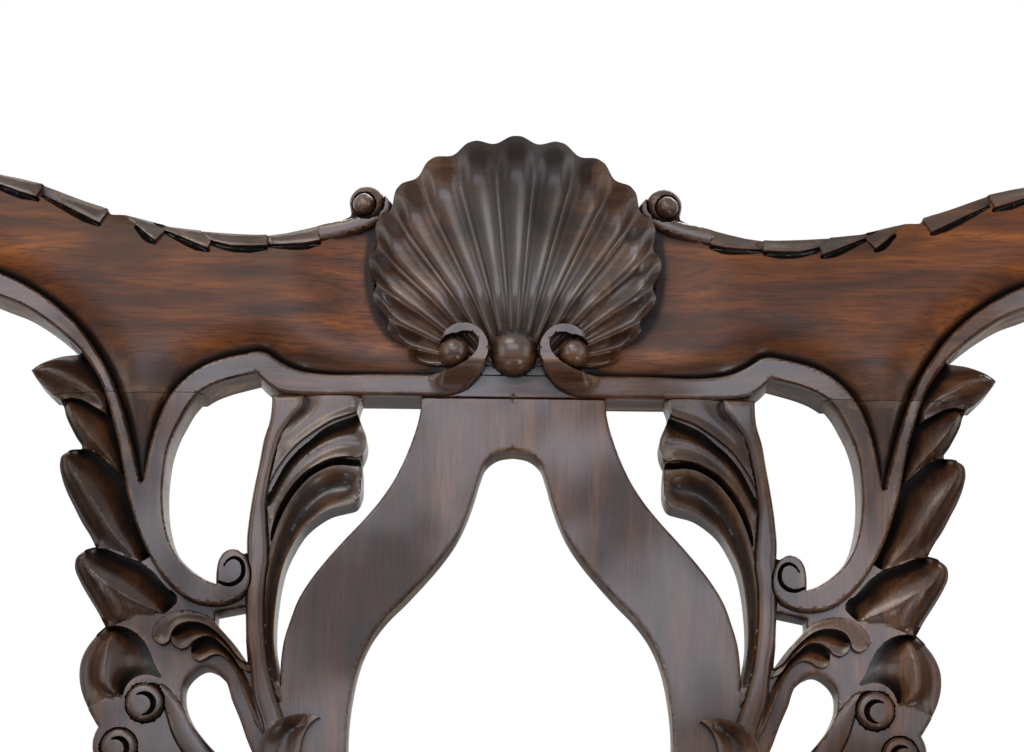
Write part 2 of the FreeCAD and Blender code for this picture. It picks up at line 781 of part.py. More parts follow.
def spiral(centre, start, sweep, start_radius, end_radius, steps=9):
    """Points of a volute from its outside in, angles in degrees."""
    points = []
    for step in range(steps + 1):
        share = step / steps
        angle = math.radians(start + sweep * share)
        radius = start_radius + (end_radius - start_radius) * share ** 0.6
        points.append((centre[0] + radius * math.cos(angle), centre[1] + radius * math.sin(angle)))
    return points


def ribbon(path, widths):
    """Flat band along a path whose width runs evenly through the list of widths."""
    spine = Part.BSplineCurve()
    spine.interpolate([flat(point) for point in path])
    edges = ([], [])
    steps = 3 * len(path)
    for step in range(steps + 1):
        share = step / steps
        place = spine.parameterAtDistance(spine.length() * share)
        tangent = Vector(spine.tangent(place)[0])
        normal = Vector(-tangent.y, tangent.x, 0)
        spot = share * (len(widths) - 1)
        low = min(int(spot), len(widths) - 2)
        half = (widths[low] + (widths[low + 1] - widths[low]) * (spot - low)) / 2
        for edge, side in zip(edges, (1, -1)):
            middle = spine.value(place)
            edge.append((middle.x + normal.x * half * side, middle.y + normal.y * half * side))
    caps = straight([edges[0][0], edges[1][0]]) + straight([edges[0][-1], edges[1][-1]])
    return face_of(curve(edges[0]) + curve(edges[1]) + caps)


crest_half = DRAWN_WIDTH / 2
crest_thick = drawn("crest_thick")
splat_thick = drawn("splat_thick")
band_rise = drawn("band_rise")
ear_radius = drawn("ear_radius")
ear = (crest_half - ear_radius, drawn("ear_height"))
post_spread = drawn("post_spread")
post_in = drawn("post_spread - post_top_width / 2")
post_out = drawn("post_spread + post_top_width / 2")
post_seat = drawn("post_seat")

# Raised bands: the inner one runs from the shell to the C-scroll, the outer one from the ear to the same scroll
shell_volute = (19.2, 16.5)
splat_volute = (93.4, -61)
inner_path = list(reversed(spiral(shell_volute, -90, -265, 12, 4.2)))
inner_path += [(28, 4.4), (45, 4.4), (62, 4.4), (72, 4.8), (77.5, 6), (82, 8.4), (87.3, 10.9), (92.3, 10.1),
               (97.3, 8.8), (102.8, 6.6), (107, 3.6), (110.8, -0.2), (114.2, -5.5), (116.9, -11.8),
               (119, -18), (120.6, -26), (121.3, -35), (119.3, -46), (114.4, -57), (107.8, -64.6)]
inner_path += spiral(splat_volute, -46, -290, 11, 3.6)
inner_band = ribbon(inner_path, [2.5, 5, 7.6, 7.8, 7.6, 7.2, 6.6, 6.4, 6.4, 7.5, 8.4, 5.2, 3])
outer_path = list(reversed(spiral(ear, -90, 270, ear_radius - 5.5, 4.5)))
outer_path += [(ear[0] - 21, post_seat + 5.6), (post_spread, post_seat + 5.4), (post_in + 2, post_seat + 4.9),
               (193, 42.6), (176, 37), (169, 34.2), (162, 30.2),
               (155, 25), (147.7, 18.2), (142.2, 10.7), (138, 2.8), (134.8, -5.7), (132.2, -14.3),
               (130.2, -22.8), (127.6, -33), (124, -43), (119.5, -52), (113, -60.5)]
outer_band = ribbon(outer_path, [3, 5, 7, 8, 8, 8, 7.4, 6.4, 5.6, 5, 5, 6])

# Crest outline, right half from the middle of its lower edge round to the shell
lower_edge = straight([(0, 0), (79, 0)])
lower_edge += curve([(79, 0), (82, 3.6), (87.7, 8.6)]) + curve([(87.7, 8.6), (93, 7.2), (99, 5.4), (108, 0)])
lower_edge += straight([(108, 0), (153.5, 0)])
leaf_tip = curve([(153.5, 0), (160.5, 3.4), (164.7, 8.2)]) + curve([(164.7, 8.2), (158, 12.2), (146.5, 15.6)])
wing = curve([(146.5, 15.6), (153.8, 22.2), (160.9, 27.4), (168, 31.2), (175.4, 34.2), (189.6, 38.9),
              (post_in, post_seat)])
wing += straight([(post_in, post_seat), (post_out, post_seat)])
ear_edge = curve([(post_out, post_seat), (ear[0] + ear_radius * 0.7, ear[1] - ear_radius * 0.75),
                  (crest_half, ear[1]), (ear[0] + ear_radius * 0.55, ear[1] + ear_radius * 0.85),
                  (ear[0] - 6, ear[1] + ear_radius)])
top_points = [(56.5, 63.6), (67.2, 59.6), (80.9, 56.7), (94.6, 56.3), (108.4, 58), (122.3, 60.8), (140.5, 65),
              (160.5, 71.2), (178, 76.6), (post_in, 81.5), (ear[0] - 6, ear[1] + ear_radius)]
shell_half = drawn("shell_width / 2")
shell_top = drawn("shell_height")
shell_lift = drawn("shell_height / 2") - 0.25
hinge = drawn("shell_hinge")
shoulder = [(56.5, 63.6), (50, 66), (43, 66.5)]
crown = [(43, 66.5), (shell_half * 0.64, shell_top - 14), (shell_half * 0.34, shell_top - 6), (0, shell_top - 3)]
right_half = lower_edge + leaf_tip + wing + ear_edge + curve(top_points) + curve(shoulder) + curve(crown)
crest_outline = face_of(both(right_half))


def rim_reach(angle):
    """Distance from the hinge of the shell to its oval rim, angle in degrees from straight up."""
    across = math.sin(math.radians(angle)) / shell_half
    upward = math.cos(math.radians(angle)) / (shell_top - shell_lift)
    offset = (hinge - shell_lift) / (shell_top - shell_lift)
    a = across ** 2 + upward ** 2
    b = upward * offset
    return (math.sqrt(b * b - a * (offset ** 2 - 1)) - b) / a


def shell_point(angle, share):
    reach = rim_reach(angle) * share
    return (reach * math.sin(math.radians(angle)), hinge + reach * math.cos(math.radians(angle)))


LOBES = 17
PITCH = 12.2
RIDGE_SHARE = 0.965
shell_rise = drawn("shell_rise")


def scallop_shell():
    """Fan of hollow flutes between thin ridges, with a scalloped rim."""
    edges = []
    ends = []
    cutters = []
    for lobe in range(LOBES):
        middle = (lobe - (LOBES - 1) / 2) * PITCH
        left, right = (shell_point(middle + side * PITCH / 2, RIDGE_SHARE) for side in (-1, 1))
        edges.append(Part.Arc(flat(left), flat(shell_point(middle, 1)), flat(right)).toShape())
        ends.append((left, right))
        reach = rim_reach(middle) * 1.06
        wide = reach * math.radians(PITCH) * 0.6
        heading = Vector(math.sin(math.radians(middle)), math.cos(math.radians(middle)), 0)
        near = Vector(0, hinge, shell_rise + 1)
        far = Vector(0, hinge, shell_rise + wide * 0.66) + heading * reach
        axis = far - near
        cutters.append(Part.makeCone(1.4, wide, axis.Length, near, axis))
    edges += straight([ends[-1][1], (0, hinge - 10), ends[0][0]])
    fan = slab(face_of(edges), -1, shell_rise)
    for cutter in cutters:
        fan = fan.cut(cutter)
    return fan


shell = scallop_shell()
top_scroll = (51.7, 67.1)
bosses = [Part.makeSphere(8.2, Vector(0, 15.9, shell_rise - 4))]
bosses += both([Part.makeCone(4.8, 3, band_rise + 2, Vector(*shell_volute, -1)),
                Part.makeCylinder(6.4, band_rise + 2, Vector(*top_scroll, -1)),
                Part.makeCone(4.8, 2.6, 3, Vector(*top_scroll, band_rise))])

# Leaf edging along the top of the crest
leaf_path = [(x, y - 3) for x, y in top_points[1:-1]]
leaf_edge = ribbon(leaf_path, [3, 4.6, 4.6, 4.6, 4])

# Splat outline, right half, from the joint down the leafy edge to the waist and the foot
splat_half = drawn("splat_base_width / 2")
waist_half = drawn("waist_width / 2")
foot = -drawn("splat_drop")
splat_edges = straight([(0, 0), (153.5, 0)])
for points in (
    [(153.5, 0), (150.3, -9.5), (146.2, -18.8)],
    [(146.2, -18.8), (151.6, -20.9), (153.3, -25.5), (150.4, -35.5), (146, -44), (140.3, -52.8)],
    [(140.3, -52.8), (145.3, -54.3), (147, -58.5), (143, -66.5), (138, -74), (135.2, -80.2)],
    [(135.2, -80.2), (140.5, -83.6), (144, -93.5), (141.5, -104), (136.2, -112.8)],
    [(136.2, -112.8), (139, -119), (134.5, -127.5)],
    lengthened([(134.5, -127.5), (124, -141), (107, -160), (88, -181), (70, -203), (56, -227), (waist_half, -262),
                (waist_half + 5, -302), (splat_half - 6, -350), (splat_half, -392)]),
):
    splat_edges += curve(points)
splat_edges += straight(lengthened([(splat_half, -392)]) + [(splat_half, foot), (0, foot)])
board = face_of(both(splat_edges))

# Piercings: the first two run up to the crest, the rest are closed
ABOVE = 6
leaf_opening = straight([(51.5, 0), (51.5, ABOVE), (31.6, ABOVE), (31.6, -4)])
for points in (
    [(31.6, -4), (34.2, -15), (40.1, -28.8), (50.2, -42.7), (62.3, -56.4), (71.4, -70.1), (75.7, -83.6),
           (77, -94)],
    [(77, -94), (78.8, -85), (78.7, -71.9), (76.4, -58.3), (69.7, -45.6), (61.4, -39.4), (53.2, -37.1)],
    [(53.2, -37.1), (50.8, -31), (51.8, -22.8)],
    [(51.8, -22.8), (49.5, -16), (52.8, -6), (51.5, 0)],
):
    leaf_opening += curve(points)
scroll_opening = straight([(108, 0), (108, ABOVE), (82, ABOVE), (82, -2)])
for points in (
    [(82, -2), (84.4, -15.6), (86.7, -29.4), (88.6, -43.1), (89.2, -53.5)],
    [(89.2, -53.5), (91.5, -56.5), (94.5, -56.8), (96.6, -60.5), (98.5, -66.5)],
    [(98.5, -66.5), (108.6, -62), (116.2, -51.5), (119, -38), (118.2, -20), (113.4, -7.4), (108, 0)],
):
    scroll_opening += curve(points)
spandrel = straight([(88.8, -74), (97.6, -76), (94.4, -79.6), (88.6, -90), (88.8, -74)])
loop = curve(lengthened([(96, -95.4), (101, -92.8), (106.6, -95.5), (108.9, -101.5), (106.7, -110), (97.4, -121.5),
                         (87, -132), (76, -141.5)]))
loop += curve(lengthened([(76, -141.5), (85.2, -121), (89.5, -110.4), (92.6, -102), (96, -95.4)]))
tear = curve(lengthened([(86, -152), (97, -158), (92, -170), (74, -190), (56, -212), (41, -229)]))
tear += curve(lengthened([(41, -229), (50, -206), (63, -182), (76, -160), (86, -152)]))
slit = curve(lengthened([(37, -306), (46, -330), (52, -362), (53, -392)]))
slit += curve(lengthened([(53, -392), (46, -372), (38, -342), (37, -306)]))
heart = curve(lengthened([(0, -18.1), (6, -19.3), (10, -24), (13, -33.7), (18.8, -48.1), (29, -61.8), (41.8, -75.5),
                          (49.8, -89), (53.3, -105.5), (54, -120), (50, -145), (40, -175), (26, -208), (12, -234),
                          (0, -248)]))
keyhole = curve(lengthened([(0, -282), (9, -292), (19, -320), (27, -355), (28, -386), (19, -408), (0, -416)]))
piercings = both([face_of(edges) for edges in (leaf_opening, scroll_opening, spandrel, loop, tear, slit)])
piercings += [face_of(both(edges)) for edges in (heart, keyhole)]
splat_face = board.cut(Part.makeCompound(piercings))

FAR = 600
above_joint = Part.makeBox(2 * FAR, FAR, 2 * FAR, Vector(-FAR, 0, -FAR))
below_joint = Part.makeBox(2 * FAR, FAR, 2 * FAR, Vector(-FAR, -FAR, -FAR))


def both_bands(thick):
    """The raised bands of both sides, through a board of the given thickness."""
    return both([slab(face, -thick, band_rise) for face in (inner_band, outer_band)])


# Loose tongue of the splat's middle in the crest, tenons of the posts
gap = drawn("fit_gap")
tenon_thick = drawn("tenon_thick")
tongue_half = 26
tongue_back = -splat_thick / 2 - tenon_thick / 2
tongue_rise = drawn("splat_tongue")


def tongue(grow):
    return Part.makeBox(2 * (tongue_half + grow), tongue_rise + grow + OVERRUN, tenon_thick + 2 * grow,
                        Vector(-tongue_half - grow, -OVERRUN, tongue_back - grow))


def post_mortise():
    wide = drawn("post_top_width / 2") + 2 * gap
    deep = tenon_thick + 2 * gap
    return Part.makeBox(wide, drawn("post_tenon") + gap + OVERRUN, deep,
                        Vector(post_spread - wide / 2, post_seat - OVERRUN, -crest_thick / 2 - deep / 2))


crest_shape = joined([slab(crest_outline, -crest_thick, 0)]
                     + [band.common(above_joint) for band in both_bands(crest_thick)]
                     + both([slab(leaf_edge, -1, band_rise - 1)]) + [shell] + bosses)
crest_shape = crest_shape.cut(Part.makeCompound([tongue(gap)] + both([post_mortise()])))
splat_shape = joined([slab(splat_face, -splat_thick, 0), tongue(0)]
                     + [band.common(below_joint) for band in both_bands(splat_thick)])

back_place = Placement(Vector(0, value("joint_y - middle_y"), value("joint_height")),
                       Rotation(Vector(1, 0, 0), 90 - value("back_rake")))
for label, shape in (("crest_rail", crest_shape), ("splat", splat_shape)):
    made(label, shape.Solids[0].scaled(scale), back_place)


# Check every object, then write one file for each piece

doc.recompute()
for item in doc.Objects:
    if any(flag in ("Invalid", "Error") for flag in item.State):
        raise RuntimeError(f"{item.Label} did not build")
for node in nodes:
    if node.Shape.isNull() or not node.Shape.isValid():
        raise RuntimeError(f"{node.Label} has no valid shape")
os.makedirs("parts", exist_ok=True)
for node in nodes:
    node.Shape.exportStep(f"parts/{node.Label}.step")
    print(node.Label, len(node.Shape.Solids), "solids,", round(node.Shape.Volume), "cubic mm")
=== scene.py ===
import math
import bmesh
import bpy
import numpy as np
from mathutils import Matrix, Vector
from mathutils.geometry import delaunay_2d_cdt


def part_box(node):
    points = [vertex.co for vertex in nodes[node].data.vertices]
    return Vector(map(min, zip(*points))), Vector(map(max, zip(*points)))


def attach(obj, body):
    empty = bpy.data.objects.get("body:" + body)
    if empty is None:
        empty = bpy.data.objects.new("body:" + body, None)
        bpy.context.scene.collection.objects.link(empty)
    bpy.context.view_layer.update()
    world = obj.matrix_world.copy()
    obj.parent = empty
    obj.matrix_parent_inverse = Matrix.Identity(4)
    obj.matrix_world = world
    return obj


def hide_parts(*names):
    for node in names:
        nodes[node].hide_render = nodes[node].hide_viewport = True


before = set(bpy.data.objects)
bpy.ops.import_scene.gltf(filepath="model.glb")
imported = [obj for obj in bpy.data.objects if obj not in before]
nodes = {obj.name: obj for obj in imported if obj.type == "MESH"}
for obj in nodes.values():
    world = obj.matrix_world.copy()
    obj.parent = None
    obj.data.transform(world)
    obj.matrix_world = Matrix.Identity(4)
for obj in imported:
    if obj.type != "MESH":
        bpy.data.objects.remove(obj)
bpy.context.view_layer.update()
scene = bpy.context.scene


def linked(name, data):
    item = bpy.data.objects.new(name, data)
    scene.collection.objects.link(item)
    return item


def pointsOf(item):
    return np.array([vert.co for vert in item.data.vertices])


# The raked back: u across, v up from the joint of crest and splat, w out of its face, all in mm
chairBack = {"rake": math.radians(13), "jointHeight": 0.912, "splatThick": 15.0, "crestThick": 20.0}
shoeLow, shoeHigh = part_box("splat_shoe")
shoeMiddle = (shoeLow + shoeHigh) / 2
rakeSin = math.sin(chairBack["rake"])
rakeCos = math.cos(chairBack["rake"])
jointY = (shoeMiddle.y + (chairBack["jointHeight"] - shoeMiddle.z) * rakeSin / rakeCos
          - chairBack["splatThick"] / 2000 / rakeCos)


def backPoints(flat):
    flat = np.asarray(flat, float) / 1000
    return np.column_stack((flat[:, 0], jointY + flat[:, 1] * rakeSin - flat[:, 2] * rakeCos,
                            chairBack["jointHeight"] + flat[:, 1] * rakeCos + flat[:, 2] * rakeSin))


# Lines: rows of u, v and sometimes a height

def smoothLine(points, step=0.9):
    pts = np.array(points, float)
    gap = np.linalg.norm(np.diff(pts[:, :2], axis=0), axis=1)
    slope = np.diff(pts, axis=0) / gap[:, None]
    tangent = np.empty_like(pts)
    tangent[0] = slope[0]
    tangent[-1] = slope[-1]
    if len(pts) > 2:
        tangent[1:-1] = ((slope[:-1] * gap[1:, None] + slope[1:] * gap[:-1, None])
                         / (gap[1:] + gap[:-1])[:, None])
        tangent[0] = 1.5 * slope[0] - 0.5 * tangent[1]
        tangent[-1] = 1.5 * slope[-1] - 0.5 * tangent[-2]
    runs = []
    for i, size in enumerate(gap):
        count = max(1, round(size / step))
        t = np.arange(count)[:, None] / count
        runs.append((2 * t ** 3 - 3 * t ** 2 + 1) * pts[i] + (t ** 3 - 2 * t ** 2 + t) * size * tangent[i]
                    + (3 * t ** 2 - 2 * t ** 3) * pts[i + 1] + (t ** 3 - t ** 2) * size * tangent[i + 1])
    return np.vstack(runs + [pts[-1:]])


def straightLine(points, step=1.2):
    rows = np.array(points, float)
    return np.vstack([smoothLine(rows[i:i + 2], step) for i in range(len(rows) - 1)])


def withHeight(line, start, end=None):
    # heights run evenly from start to end along the line
    line = np.asarray(line, float)[:, :2]
    away = np.concatenate(([0], np.cumsum(np.linalg.norm(np.diff(line, axis=0), axis=1))))
    end = start if end is None else end
    return np.column_stack((line, start + (end - start) * away / max(away[-1], 1e-9)))


def raisedLine(points, start, end=None):
    return withHeight(smoothLine(points), start, end)


def loopOf(*runs):
    # closed outline from runs that meet end to end, the last point not repeated
    rows = []
    for run in runs:
        for row in run:
            if not rows or np.hypot(*(rows[-1][:2] - row[:2])) > 0.05:
                rows.append(row)
    if np.hypot(*(rows[-1][:2] - rows[0][:2])) < 0.05:
        rows.pop()
    return np.array(rows)


def closed(loop):
    return np.vstack((loop, loop[:1]))


def spiralLine(centre, start, sweep, outer, inner, steps=14, bend=0.6):
    share = np.arange(steps + 1) / steps
    angle = np.radians(start + sweep * share)
    radius = outer + (inner - outer) * share ** bend
    return np.column_stack((centre[0] + radius * np.cos(angle), centre[1] + radius * np.sin(angle)))


def circleLine(centre, radius, start=0, sweep=360, steps=40):
    return spiralLine(centre, start, sweep, radius, radius, steps)


def nearLine(spots, line):
    # distance to the line, the line's height there, and the share of its length
    start = line[:-1]
    end = line[1:]
    run = end[:, :2] - start[:, :2]
    size = np.maximum((run ** 2).sum(1), 1e-12)
    away = np.empty(len(spots))
    rise = np.zeros(len(spots))
    place = np.empty(len(spots))
    for first in range(0, len(spots), 3000):
        part = spots[first:first + 3000]
        offset = part[:, None, :] - start[None, :, :2]
        share = np.clip((offset * run).sum(2) / size, 0, 1)
        square = ((offset - share[..., None] * run) ** 2).sum(2)
        pick = square.argmin(1)
        row = np.arange(len(part))
        away[first:first + 3000] = np.sqrt(square[row, pick])
        place[first:first + 3000] = (pick + share[row, pick]) / len(run)
        if line.shape[1] > 2:
            rise[first:first + 3000] = (start[pick, 2]
                                        + share[row, pick] * (end[pick, 2] - start[pick, 2]))
    return away, rise, place


def insideLoop(spots, loop):
    inside = np.zeros(len(spots), bool)
    x, y = spots[:, 0], spots[:, 1]
    for (x0, y0), (x1, y1) in zip(loop[:, :2], np.roll(loop[:, :2], -1, axis=0)):
        if y0 != y1:
            crosses = (y0 > y) != (y1 > y)
            inside ^= crosses & (x < x0 + (y - y0) * (x1 - x0) / (y1 - y0))
    return inside


def quarterRound(share):
    share = np.clip(share, 0, 1)
    return np.sqrt(np.maximum(1 - (1 - share) ** 2, 0))


def softStep(low, high, value):
    share = np.clip((value - low) / (high - low), 0, 1)
    return share * share * (3 - 2 * share)


# Carved forms are kept in order, a later one lies over an earlier one
carving = []


def addForm(edge, shape, lines=(), rows=()):
    reach = 0.05
    carving.append({"edge": edge, "shape": shape, "lines": [closed(edge)] + list(lines), "rows": rows,
                    "low": edge[:, :2].min(0) - reach, "high": edge[:, :2].max(0) + reach})


def addPlateau(edge, top, foot, roll, rows=(0.4, 1.1)):
    # flat top with rounded edges, top and roll are lengths or functions of the spots
    def shape(spots, away, height):
        level = top(spots) if callable(top) else top
        return foot + (level - foot) * quarterRound(away / (roll(spots) if callable(roll) else roll))
    addForm(edge, shape, rows=rows)


def addLeaf(edge, ridges=(), power=2.6):
    # surface drawn through the heights of its rim and its ridge lines
    ridges = [smoothLine(ridge, 0.8) for ridge in ridges]
    known = np.vstack([edge] + ridges)

    def shape(spots, away, height):
        square = ((spots[:, None, :] - known[None, :, :2]) ** 2).sum(2) + 1e-4
        weight = square ** (-power / 2)
        return (weight * known[:, 2]).sum(1) / weight.sum(1)
    addForm(edge, shape, ridges)


def ribbonLoop(path, halves):
    # outline of a strip along a path, halves are spread evenly along it
    path = path[:, :2]
    run = np.gradient(path, axis=0)
    run /= np.linalg.norm(run, axis=1)[:, None]
    side = np.column_stack((-run[:, 1], run[:, 0]))
    half = np.interp(np.linspace(0, 1, len(path)), np.linspace(0, 1, len(halves)), halves)[:, None]
    return np.vstack((path + side * half, (path - side * half)[::-1]))


def addStrand(path, halves, profile):
    # profile turns the share across, the path's height and the height below into the new height
    share = np.linspace(0, 1, len(halves))

    def shape(spots, away, height):
        off, rise, place = nearLine(spots, path)
        return profile(np.clip(off / np.interp(place, share, halves), 0, 1), rise, height)
    addForm(ribbonLoop(path, halves), shape, [path])


def addBand(points, halves, drop=1.6, power=2.5):
    # rounded strand along u, v, height points
    addStrand(smoothLine(points, 0.8), halves,
              lambda across, rise, height: rise - drop * (1 - (1 - across ** power) ** (1 / power)))


def addGroove(points, halves, depth):
    addStrand(smoothLine(points, 0.7), halves,
              lambda across, rise, height: height - depth * (1 - across ** 2))


def addDome(centre, radius, low, top):
    rings = [circleLine(centre, radius * share, steps=24)[:-1] for share in (0.8, 0.5)]

    def shape(spots, away, height):
        off = np.hypot(*(spots - np.array(centre)).T) / radius
        return low + (top - low) * np.sqrt(np.maximum(1 - off ** 2, 0))
    addForm(circleLine(centre, radius, steps=32)[:-1], shape, [closed(ring) for ring in rings])


# Edges of the crest and splat that the carving follows
bandLower = [(31.7, 0.3), (52, 0.2), (72.3, 0.2), (77.4, 0.6), (80.8, 1.6), (84.3, 4), (87.5, 7.1)]
bandLowerScroll = [(87.5, 7.1), (92.8, 5.7), (97.9, 4.2), (102.9, 2.1), (106.2, 0), (109.4, -3.9),
                   (111.7, -8.1), (114.2, -13.3), (116.3, -20.2), (117.3, -28.8), (117.3, -37.4),
                   (116.4, -44.2), (114.5, -50.9), (111.6, -56), (107.4, -60.3), (102.3, -63.6), (98.9, -65)]
bandUpper = [(25, 7.9), (45, 7.8), (65.8, 7.7), (72.6, 8.7), (77.7, 10.7), (81.2, 12.8), (83.6, 14.5)]
bandUpperScroll = [(83.6, 14.5), (87, 15.2), (91.4, 14.4), (96.5, 13.3), (103.2, 11.1), (108.2, 8.3),
                   (113.1, 4), (117, -1.2), (120.1, -8.2), (122.5, -16.8), (123.9, -23.7), (125, -30.6)]
scrollOuter = [(241, 42), (224, 42), (207, 42), (189.6, 38), (175.6, 32.7), (168.6, 30), (161.6, 25.9),
               (154.6, 20.7), (147.5, 14.1), (142, 6.5), (138.3, -1.5), (135.6, -10.1), (133.2, -18.7),
               (131.5, -27.3), (129.1, -37.5), (125.6, -47.7), (120.9, -57.1), (115.6, -64.5),
               (110.5, -69.1), (105.4, -71.8), (100.3, -72.7), (95.3, -72.3), (90.4, -70.2)]
scrollVolute = [(90.4, -70.2), (88.2, -67.5), (87, -62.5), (87.8, -58.1), (89.9, -54.7), (93, -53.1),
                (96.3, -54.1), (98.2, -56.8), (98.9, -60.4), (98.9, -65)]
scrollInner = [(238, 52), (224, 51.6), (209, 50.6), (193, 47), (176, 41.5), (169, 38.4), (162, 34.3),
               (154.9, 29.1), (147.8, 22.2), (142.4, 14.9), (137.7, 7.2), (133.9, -1.4), (130.9, -10),
               (128.5, -18.6), (126.5, -25.5), (125, -30.6)]
stemOuter = [(82, -0.1), (82, -2.7), (82.5, -8.6), (84.4, -15.6), (85.5, -22.5), (86.7, -29.4),
             (87.8, -36.3), (88.6, -43.1), (89.1, -49.9), (88.9, -54.4)]
leafInner = [(51.5, -0.6), (52.8, -5.5), (51.3, -10), (49.8, -14.1), (49.8, -17.6), (51.4, -22)]
leafInnerLow = [(51.4, -22), (50.9, -29), (51.1, -33.1), (53, -36.9), (56.4, -38), (61.4, -39.4),
                (65.4, -41.8), (69.7, -45.6), (73.5, -51.5), (76.4, -58.3), (77.9, -65.1), (78.7, -71.9),
                (79.1, -78.6), (78.9, -85.3), (77.7, -92), (76.6, -98.7)]
strapOuter = [(31.6, -5), (32.6, -9.8), (34.2, -15), (36.8, -21.9), (40.1, -28.8), (44.6, -35.8),
              (50.2, -42.7), (56.5, -49.6), (62.3, -56.4), (67.5, -63.3), (71.4, -70.1), (73.8, -76.9),
              (75.7, -83.6), (76.5, -90.3), (76.6, -98.7)]
heartEdge = [(0, -18.1), (6, -19.5), (9.4, -22.6), (11, -26.8), (13, -33.7), (15.6, -41.3), (18.8, -48.1),
             (23.4, -55), (29, -61.8), (35.2, -68.7), (41.8, -75.5), (46.7, -82.3), (49.8, -89),
             (51.7, -95.7), (52.9, -102.4), (53.7, -109), (54, -120), (50, -145), (40, -175), (26, -208),
             (12, -234), (0, -248)]
shellOval = {"hinge": 17.6, "lift": 45.0, "halfWidth": 49.8, "halfHeight": 45.5, "backing": 0.985}
topScroll = (51.2, 68.2)
topScrollRadius = 6.1
ear = (256.0, 66.0)
earRadius = 19.0

# Field of the crest: swells between the bands and the top, sinks to a point between the scrolls
fieldLines = [smoothLine(bandUpper + bandUpperScroll[1:]), smoothLine(scrollInner)]
topEdge = [(250, 85), (230, 83.9), (207, 81.3), (185.2, 79.2), (178.1, 76.9), (171.2, 75.4), (163.5, 73.5),
           (157.1, 70.9), (150.1, 68.1), (140.4, 64.9), (134.4, 63), (129.2, 61.6), (120.2, 59.2),
           (111.9, 57.9), (103.9, 57.1), (94.6, 56.4), (87, 56.2), (80.9, 56.8), (74, 58), (67.2, 59.7),
           (60.4, 62), (57, 63.8)]
topLine = smoothLine(topEdge, 2)
field = {"groove": -2.6, "swell": 7.4, "lowRoll": 16.0, "topRoll": 46.0, "topShare": 0.3, "sink": 28.0,
         "sunkShare": 0.45, "above": 4.0}


def shellReach(spots):
    # 1 on the rim of the shell, less inside it
    return np.hypot(spots[:, 0] / shellOval["halfWidth"],
                    (spots[:, 1] - shellOval["lift"]) / shellOval["halfHeight"])


def fieldShape(spots, away, height):
    rise = np.ones(len(spots))
    for line in fieldLines:
        rise *= quarterRound(nearLine(spots, line)[0] / field["lowRoll"])
    topRise = quarterRound(nearLine(spots, topLine)[0] / field["topRoll"])
    rise *= field["topShare"] + (1 - field["topShare"]) * topRise
    beside = softStep(0, field["sink"], (shellReach(spots) - 1) * shellOval["halfWidth"])
    return field["groove"] + field["swell"] * rise * (field["sunkShare"] + (1 - field["sunkShare"]) * beside)


addForm(loopOf(smoothLine([(0, 7.9), (25, 7.9)]), fieldLines[0], fieldLines[1][::-1],
               smoothLine([(238, 52), (243, 64), (243, 80)]),
               topLine[6:] + np.array((0, field["above"])), smoothLine([(40, 72), (0, 72)])), fieldShape)

# Leaf edging on the top of the crest: each leaf widens towards the shell and ends square
# rows: top outline from the outer end, then inner corner, then lower edge back, each with its height
edgingLeaves = [
    [(185.2, 79.2, 0.4), (178.1, 76.9, 0.8), (171.2, 75.4, 1.2), (163.5, 73.5, 1.6), (163.6, 71.9, 2.6),
     (165, 68.4, 4.2), (170.9, 70.4, 3.4), (177.9, 73.1, 2.6), (185, 76.4, 1.4)],
    [(163.5, 73.4, 0.0), (157.1, 70.9, 0.6), (150.1, 68.1, 1.2), (140.4, 64.8, 1.6), (140.6, 63.5, 2.4),
     (142.9, 59.4, 3.6), (148.2, 62.2, 2.8), (155.2, 65.9, 1.8), (163.3, 70, 0.2)],
    [(134.4, 63, 0.2), (129.2, 61.6, 0.8), (120.4, 59.2, 1.4), (120.8, 56.6, 2.6), (123.6, 53.2, 4.4),
     (126.9, 56, 3.4), (130.5, 59.3, 1.8)],
    [(124.6, 60.2, 0.2), (118.8, 58.8, 0.8), (111.9, 57.9, 1.2), (104, 57.1, 1.6), (103.9, 55.4, 2.6),
     (105.4, 50.8, 4.4), (109.6, 52.6, 3.6), (115.2, 55.2, 2.6), (120.4, 57.5, 1.4)],
    [(108.4, 57.7, 0.2), (101.5, 56.9, 0.8), (94.6, 56.4, 1.2), (85.4, 56.2, 1.6), (85.2, 52, 4.2),
     (91, 51.8, 3.8), (97.2, 52, 3.2), (103.5, 53.6, 2.2), (106.6, 55.6, 1)],
    [(85, 56.2, 0.4), (79.2, 56.9, 0.8), (74, 58, 1.2), (67.3, 59.6, 1.6), (67.1, 54.2, 3.6), (72.2, 53.2, 3.2),
     (79.1, 52.9, 2.4), (84.9, 53, 1.2)],
]
for leaf in edgingLeaves:                     # a gouged line sets each leaf off from the field
    corner = max(range(len(leaf)), key=lambda i: leaf[i][2])
    addGroove([(u, v - 0.6) for u, v, height in leaf[corner:]], [0.8, 1.9, 1.8, 1.4, 0.9], 2.2)
for leaf in edgingLeaves:
    addLeaf(loopOf(straightLine(closed(np.array(leaf)), 0.8)))
for first in ((207, 81.3), (231, 83.9)):       # two more leaves run out to the ear
    last = (first[0] - 23, first[1] - 2.6)
    rim = [(*first, 0.4), (*last, 1.4), (last[0] + 1, last[1] - 5.6, 4), (*first, 0.4)]
    addLeaf(loopOf(straightLine(rim, 0.8)))

